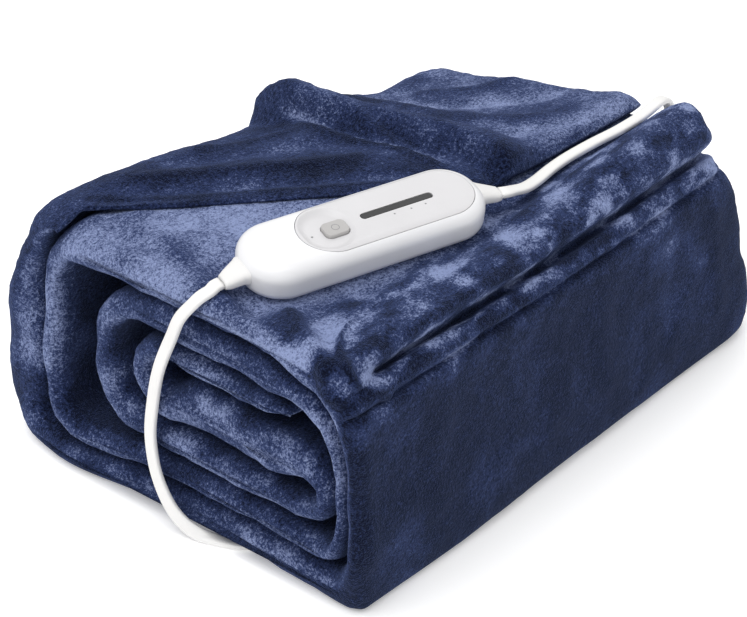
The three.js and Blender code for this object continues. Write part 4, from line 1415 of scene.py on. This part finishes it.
    def soften(self, points: Array, labels: list) -> tuple[Array, Array]:
        """Adds the cloth's waves, lumps and creases, and its lay: the nap's tone with painted shade and painted
        highlight.

        Args:
            points: The skin's rings.
            labels: Zone of each point of a ring's outer side, which comes first.

        Returns:
            The moved points, and a value from 0 (dark) to 1 (light) for each.
        """
        rings, count = points.shape[:2]
        flat = points.reshape(-1, 3)
        normal = self.normals(points).reshape(-1, 3)
        _, weight = PLACE.seat(flat[:, 0], flat[:, 1])
        high = smooth(120, 135, flat[:, 2])
        lead_y = np.interp(flat[:, 0], *LEAD_LINE)
        groove = bell(flat[:, 1] - lead_y, 0, 9) * smooth(140, 165, flat[:, 0]) * high
        free = (1 - weight * high) * (1 - groove) * smooth(0, 9, flat[:, 2])
        zone = np.pad([ZONE_NAP_AND_SHADE[name] for name in labels], BLUR // 2, mode="edge")
        base = np.full(count, ZONE_NAP_AND_SHADE[Zone.INNER])
        base[:len(labels)] = np.convolve(zone, np.ones(BLUR) / BLUR, mode="valid")
        seen = np.zeros(count)
        seen[:len(labels)] = [0.25 if name is Zone.INNER else 1.0 for name in labels]
        seen = np.tile(seen, rings)
        nominal = np.repeat(self.stations(), count)
        open_end = 1 - smooth(0, 40, nominal)
        lumps = 1.1 * layered_noise(flat, 46, 5, 3) + 0.4 * layered_noise(flat, 13, 9, 2)
        crumples = 1.1 * layered_noise(flat * np.array([0.5, 1.0, 1.0]), 17, 13, 2) * open_end * (1 - seen)
        tufts = 0.3 * lattice_noise(flat, 4.2, 3) + 0.16 * lattice_noise(flat, 2.4, 4)
        push = lumps * (0.25 + 0.75 * seen) + crumples + tufts * np.maximum(seen, open_end)
        lay = np.tile(base, rings)
        # Each crease moves the cloth and adds its painted shade or painted highlight to the lay.
        for crease in CREASES:
            move, painted_shading = crease.effect(flat, self.on_surface(crease))
            push += move * np.maximum(seen, 0.3)
            lay += painted_shading * seen
        near_wave = 1 - smooth(0, 55, nominal)
        far_wave = smooth(self.top_length - 50, self.top_length, nominal)
        wave = layered_noise(flat * np.array([0.2, 1.0, 1.0]), 30, 21, 2)
        bulge = layered_noise(flat * np.array([0.2, 1.0, 1.0]), 15, 25, 2)
        shift = near_wave * (1.9 * wave + 0.5 * bulge) + far_wave * (2.4 * wave)
        shift *= smooth(3, 24, flat[:, 2])
        moved = flat + normal * (push * free)[:, None]
        moved[:, 0] += shift
        moved[:, 2] = np.maximum(moved[:, 2], 0.0)
        lay += self.brushing(flat, normal, labels, count, nominal)
        # Painted shade: the inner sides and inner layers are darker away from both ends of the bundle.
        hollow_shade = smooth(1, 16, nominal) * smooth(self.top_length, self.top_length - 20, nominal)
        lay -= 0.38 * hollow_shade * (1 - seen)
        return moved.reshape(points.shape), np.clip(lay, 0.0, 1.0).reshape(rings, count)

    def brushing(self, flat: Array, normal: Array, labels: list, count: int, nominal: Array) -> Array:
        """Patches where the nap is brushed to one side or the other, with painted highlight on the roll's
        crest, the flat top and the open end's rims.

        Args:
            flat: Places on the cloth.
            normal: Their outward normals.
            labels: Zone of each outer point of a ring.
            count: Points of a ring.
            nominal: Place along the bundle of each point.

        Returns:
            The change of the lay at each place: nap patches together with painted light.
        """
        def on(*zones: Zone) -> Array:
            """Marks the outer side of some zones.

            Args:
                *zones: The zones.

            Returns:
                1 on their outer side and 0 elsewhere, blended at the borders.
            """
            one = np.zeros(count)
            one[:len(labels)] = [1.0 if name in zones else 0.0 for name in labels]
            one = np.convolve(np.pad(one, BLUR // 2, mode="wrap"), np.ones(BLUR) / BLUR, mode="valid")
            return np.tile(one, len(flat) // count)

        x, y, z = flat[:, 0], flat[:, 1], flat[:, 2]
        cloud = np.tanh(2.4 * layered_noise(flat, 30, 37, 4))
        mottle = np.tanh(2.6 * layered_noise(flat, 13, 41, 3))
        speckle = np.tanh(2.8 * layered_noise(flat * np.array([0.7, 1.0, 1.0]), 8, 47, 2))
        streaks = layered_noise(flat * np.array([1.0, 1.0, 0.2]), 17, 31, 3)
        roll = on(Zone.TOP, Zone.TUCKS) * smooth(48, 34, y)
        table = on(Zone.TOP) * smooth(36, 52, y) * smooth(175, 120, x)
        lid = on(Zone.LID)
        front = on(Zone.FRONT)
        outer = on(Zone.BACK, Zone.BOTTOM)
        hidden = 1 - np.clip(roll + table + lid + front + outer, 0, 1)
        rim = 1 - smooth(0, 8, nominal)
        # Per part: where, base, clouds, mottles, speckles. Painted highlight along the roll's crest, on the
        # flat top towards the open end and on the open end's rims; the hidden layers are darker towards the
        # floor.
        parts = (
            (table, 0.24, 0.12, 0.06, 0.0),
            (roll, 0.07 + 0.1 * bell(z, 136, 9), 0.16, 0.22, 0.24),
            (lid, -0.1 + 0.31 * smooth(190, 230, x), 0.09, 0.06, 0.06),
            (front, -0.1 + 0.14 * streaks + 0.1 * bell(x, 45, 38) * smooth(20, 70, z), 0.1, 0.0, 0.05),
            (outer, -0.12, 0.12, 0.08, 0.05),
            (hidden, 0.03 - 0.13 * smooth(70, 30, z) + 0.14 * rim, 0.12, 0.12, 0.1),
        )
        # Painted light: faces that look up are lighter, except on the front.
        shift = 0.1 * normal[:, 2] * (1 - front)
        for where, base, clouds, mottles, speckles in parts:
            shift += where * (base + clouds * cloud + mottles * mottle + speckles * speckle)
        return shift

    def build(self, finish: Paint) -> Item:
        """Makes the throw.

        Args:
            finish: Its plush.

        Returns:
            The object.
        """
        points, labels = self.skin()
        points, lay = self.soften(points, labels)
        rings, count = points.shape[:2]
        faces = ring_faces(count, rings)
        for ring in (0, rings - 1):
            flat = [Vector((float(p[1]), float(p[2]), 0.0)) for p in points[ring]]
            faces.extend(tuple(ring * count + i for i in corner) for corner in tessellate_polygon([flat]))
        obj = new_object("plush_throw", points.reshape(-1, 3), faces, finish)
        work = bmesh.new()
        work.from_mesh(obj.data)
        bmesh.ops.recalc_face_normals(work, faces=work.faces)
        work.to_mesh(obj.data)
        work.free()
        attribute = obj.data.attributes.new("lay", "FLOAT", "POINT")
        attribute.data.foreach_set("value", lay.reshape(-1))
        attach(obj, "bundle")
        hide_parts("blanket")
        return obj


# ------------------------------------------------------------------ leads


@dataclass(frozen=True)
class Relief:
    """Tapered strain relief: rows of place, width, height, sideways bend and drop."""

    name: str
    node: str
    rows: tuple
    sides: int = 48
    squareness: float = 0.7
    end_edge: tuple = ((0.7, 0.0), (0.2, 0.25), (0.0, 0.8))

    def build(self, finish: Paint) -> None:
        """Makes the relief, with a softened edge at both ends.

        Args:
            finish: Its material.
        """
        rows = sorted(self.rows)
        a = -2 * np.pi * (np.arange(self.sides) + 0.5) / self.sides
        wide, high = (np.sign(v) * np.abs(v) ** self.squareness for v in (np.cos(a), np.sin(a)))
        sections = [(*rows[0], inset, back) for inset, back in self.end_edge]
        sections += [(*row, 0.0, 0.0) for row in rows[1:-1]]
        sections += [(*rows[-1], inset, -back) for inset, back in self.end_edge[::-1]]
        rings = [np.stack([np.full(self.sides, x + back), wide * (width / 2 - inset) + side,
                           high * (height / 2 - inset) - drop], axis=1)
                 for x, width, height, side, drop, inset, back in sections]
        obj = loft(self.name, PLACE.out(np.array(rings)), finish)
        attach(obj, "bundle")
        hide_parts(self.node)


NEAR_RELIEF = Relief("near_relief", "loop_relief", (
    (-57.5, 17, 9, 0, 0), (-67, 16.5, 9, 0, 0), (-68.5, 14.5, 8.2, -0.2, 0.1),
    (-75.5, 11, 6.4, -2.2, 0.4), (-78.5, 9, 5.4, -2.6, 0.6),
))
MAINS_RELIEF = Relief("mains_side_relief", "mains_relief", (
    (57.2, 16, 9, 0, 0), (67, 15.5, 8.8, 0, 0), (68.5, 13.5, 7.8, -0.2, 0.2),
    (75.5, 10.5, 6.2, -1.9, 1.6), (78.5, 9, 5.4, -2.3, 1.9),
))


@dataclass
class Lead:
    """A flat cord along rows of place and width direction, in the bundle frame."""

    name: str
    rows: list
    width: float = 7.0
    thickness: float = 3.6
    step: float = 1.6
    samples: int = 40
    sides: int = 28
    side_squareness: float = 0.72
    face_squareness: float = 0.55
    waist: float = 0.1
    waist_width: float = 0.9

    def section(self) -> Array:
        """Outline of the flat section, with a slight waist between its two cores.

        Returns:
            The outline's points (across, up), one row each.
        """
        a = -2 * np.pi * np.arange(self.sides) / self.sides
        c, s = np.cos(a), np.sin(a)
        x = np.sign(c) * np.abs(c) ** self.side_squareness * self.width / 2
        y = np.sign(s) * np.abs(s) ** self.face_squareness * self.thickness / 2
        return np.stack([x, y * (1.0 - self.waist * bell(x, 0.0, self.waist_width))], axis=1)

    def line(self) -> tuple[Array, Array]:
        """Even steps along the lead.

        Returns:
            The places, and the width direction at each.
        """
        rows = np.array(self.rows, float)
        fine = rounded_path(rows, [self.samples] * (len(rows) - 1), 3)
        run = np.concatenate([[0], np.cumsum(np.linalg.norm(np.diff(fine[:, :3], axis=0), axis=1))])
        at = np.linspace(0, run[-1], max(4, int(run[-1] / self.step)) + 1)
        even = np.stack([np.interp(at, run, fine[:, k]) for k in range(6)], axis=1)
        return even[:, :3], even[:, 3:]

    def build(self, finish: Paint) -> tuple[Item, Array]:
        """Makes the lead's mesh.

        Args:
            finish: Its material.

        Returns:
            The object, and its line in bundle-frame millimetres.
        """
        places, across = self.line()
        heading = np.gradient(places, axis=0)
        heading /= np.linalg.norm(heading, axis=1)[:, None]
        across = across - heading * np.sum(across * heading, axis=1)[:, None]
        across /= np.linalg.norm(across, axis=1)[:, None]
        up = np.cross(heading, across)
        section = self.section()
        rings = (places[:, None, :] + across[:, None, :] * section[None, :, :1]
                 + up[:, None, :] * section[None, :, 1:])
        return loft(self.name, rings, finish), places


@dataclass
class LeadSet:
    """The two leads: to the cloth, and to the mains with its spare length coiled."""

    coil_x: float = 397.0
    coil_y: float = 150.0
    coil_outer: float = 44.5
    coil_bottom: float = 1.65
    turn_inset: float = 2.1
    turn_pitch: float = 4.2
    layer_heights: tuple = (3.6, 10.9)
    per_turn: int = 20
    plug_start: tuple = (397.0, 225.7, 8.0)

    @staticmethod
    def leaving(relief: Relief) -> list:
        """First rows of a lead, straight out of a relief.

        Args:
            relief: The relief that it leaves.

        Returns:
            Two rows (place, width direction).
        """
        across = PLACE.turn()[:, 1]
        before, end = np.array(relief.rows[-2], float), np.array(relief.rows[-1], float)
        run = abs(end[0] - before[0])
        rows = []
        for distance in (2.6 * GAP, 4.0):
            side, drop = end[3:] + distance / run * (end[3:] - before[3:])
            at = PLACE.out(np.array([end[0] + math.copysign(distance, end[0]), side, -drop]))
            rows.append([*at, *across])
        return rows

    def loop_rows(self) -> list:
        """From the controller over the open end, to the floor and in under the bundle.

        Returns:
            Rows of place and width direction.
        """
        return self.leaving(NEAR_RELIEF) + [
            (-0.2, 88.8, 143.1, 0.15, 0.98, 0.1), (-5.3, 90.5, 141.2, 0.25, 0.95, 0.1),
            (-9.6, 92.6, 137.6, 0.3, 0.95, 0), (-12.8, 96.9, 130.9, 0.3, 0.95, 0),
            (-11.7, 105.4, 115.6, 0.2, 0.97, 0.1), (-11.6, 116.2, 92.2, 0.1, 1, 0.2),
            (-11.7, 122.2, 69.8, 0, 1, 0.1), (-13, 124.2, 48.7, 0, 1, 0),
            (-15.5, 118.2, 28.6, -0.1, 0.95, -0.3), (-16.2, 106.8, 12.8, -0.35, 0.75, -0.5),
            (-13.6, 95.4, 4.5, -0.7, 0.6, -0.25), (-8.8, 84.5, 2.1, -0.9, 0.4, 0),
            (-4, 74.5, 2, -0.85, 0.5, 0), (2.5, 67.5, 2, -0.75, 0.65, 0), (8.5, 63.8, 2, -0.6, 0.8, 0),
        ]

    def coil_rows(self) -> list:
        """The turns of the coil: inward in the lower layer, then up and back out.

        Returns:
            Rows of place and width direction.
        """
        rows = []
        radii = [self.coil_outer - self.turn_inset - self.turn_pitch * k for k in range(3)]
        low, high = (self.coil_bottom + height for height in self.layer_heights)
        turns = [(r, low) for r in radii] + [(r, high) for r in reversed(radii)]
        start = math.pi
        for k, (radius, z) in enumerate(turns):
            for i in range(self.per_turn):
                t = i / self.per_turn
                ease = float(smooth(0.72, 1.0, t))
                following = turns[k + 1] if k + 1 < len(turns) else turns[k]
                r = mix(radius, following[0], ease)
                h = mix(z, following[1], ease)
                a = start - 2 * math.pi * t
                rows.append([self.coil_x + r * math.cos(a), self.coil_y + r * math.sin(a), h, 0, 0, 1])
        return rows

    def mains_rows(self) -> list:
        """From the controller along the top, over the far end, round the coil and to the plug.

        Returns:
            Rows of place and width direction.
        """
        rows = self.leaving(MAINS_RELIEF) + [
            (166.9, 40.8, 145.3, 0.1, 0.98, 0.15), (177, 41, 142.7, 0.05, 0.99, 0.1),
            (190, 43.6, 140.4, 0, 1, 0.05), (206, 46.4, 139.8, 0, 1, 0), (222, 47.9, 139.6, 0, 1, 0),
            (244, 47, 140.2, 0, 1, 0), (265, 44.8, 141, 0, 1, 0), (285, 44.2, 142, 0, 1, 0),
            (298, 44.5, 143.7, 0, 1, 0), (308.7, 46.9, 142.4, 0, 1, 0), (319, 49.9, 136.8, 0, 1, 0),
            (328.8, 53.1, 124.2, 0.05, 1, 0), (336.5, 56, 103, 0.1, 1, 0), (343, 60, 76, 0.1, 1, 0.1),
            (347.8, 67, 48, 0, 0.9, 0.4), (350, 76, 28, 0, 0.7, 0.7), (350.6, 88, 14.6, 0, 0.4, 0.9),
            (350.6, 104, 8.4, 0, 0.1, 1), (350.6, 118, 6.4, 0, 0, 1), (352.8, 134, 5.6, 0, 0, 1),
        ]
        rows += self.coil_rows()
        outer = self.coil_outer - self.turn_inset
        for degrees in (180, 166, 152):
            a = math.radians(degrees)
            r = outer + 0.2 + (180 - degrees) * 0.09
            rows.append([self.coil_x + r * math.cos(a), self.coil_y + r * math.sin(a), 12.2, 0, 0, 1])
        x, y, z = self.plug_start
        return rows + [
            (371.2, 191.3, 9.5, 0, 0, 1), (383.1, 199.7, 7.4, 0.2, 0, 0.95), (392, 209.2, 7.7, 0.7, 0, 0.6),
            (x - 0.6, y - 6, z, 1, 0, 0), (x, y, z, 1, 0, 0),
        ]

    @staticmethod
    def lay(name: str, rows: list, finish: Paint, *nodes: str) -> tuple[Item, list, float]:
        """Makes a lead in the place of its CAD nodes.

        Args:
            name: Name of the lead.
            rows: Its rows of place and width direction.
            finish: Its material.
            *nodes: The CAD nodes that it replaces.

        Returns:
            The object, and its line and length in row-frame metres.
        """
        piece, places = Lead(name, rows).build(finish)
        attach(piece, "bundle")
        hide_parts(*nodes)
        length = round(float(np.sum(np.linalg.norm(np.diff(places, axis=0), axis=1))) / 1000, 3)
        LOG.info("%s %.3f m", name, length)
        return piece, [tuple(p) for p in to_row(places)], length

    def build(self, finish: Paint, plug_pieces: list) -> None:
        """Args:
            finish: Their material.
            plug_pieces: The pieces that lie on the mains lead; not used.
        """
        piece, path, length = self.lay("loop_lead", self.loop_rows(), finish, "loop_cord")
        piece, path, length = self.lay("mains_lead", self.mains_rows(), finish,
                                       "mains_cord", "mains_coil", "mains_tail")


# ------------------------------------------------------------------ run


def dress_cad() -> None:
    """Gives the hard pieces that stay as modelled their own finishes."""
    finishes = {
        "coil_tie": PlasticFinish("tie_black", linear(34, 34, 36), roughness=0.6, grain=0.3),
        "plug_body": PlasticFinish("plug_white", linear(236, 235, 232), roughness=0.45, grain=0.12),
        "plug_blade_left": MetalFinish("blade_left_metal", linear(190, 184, 170)),
        "plug_blade_right": MetalFinish("blade_right_metal", linear(190, 184, 170)),
    }
    for node, finish in finishes.items():
        frame["nodes"][node].material_slots[0].material = finish.build()
        LOG.info("%s in %s", node, finish.name)


def report() -> None:
    """Logs each piece that was made."""
    for obj in bpy.context.scene.objects:
        if obj.type == "MESH" and obj not in frame["nodes"].values():
            LOG.info("%s: %d faces in %s", obj.name, len(obj.data.polygons), obj.data.materials[0].name)


def main() -> None:
    """Builds the object, piece by piece."""
    logging.basicConfig(level=logging.INFO)
    Studio().build()
    Throw().build(PlushFinish().build())
    relief = PlasticFinish("relief_white", linear(222, 221, 220), roughness=0.5).build()
    NEAR_RELIEF.build(relief)
    MAINS_RELIEF.build(relief)
    Controller().build(
        PlasticFinish("shell_white", linear(226, 226, 228), roughness=0.3, coat=0.12).build(),
        PlasticFinish("plate_grey", linear(203, 202, 204), roughness=0.4).build(),
        PlasticFinish("button_grey", linear(172, 170, 169), roughness=0.5, grain=0.15).build(),
        PlasticFinish("window_smoke", linear(20, 20, 22), roughness=0.38).build(),
        PlasticFinish("print_grey", linear(128, 128, 130), roughness=0.6).build(),
    )
    dress_cad()
    cord = PlasticFinish("cord_white", linear(230, 229, 227), roughness=0.45).build()
    LeadSet().build(cord, [frame["nodes"]["plug_body"], frame["nodes"]["plug_blade_left"],
                           frame["nodes"]["plug_blade_right"], frame["nodes"]["coil_tie"]])
    report()


if __name__ == "__main__":
    main()
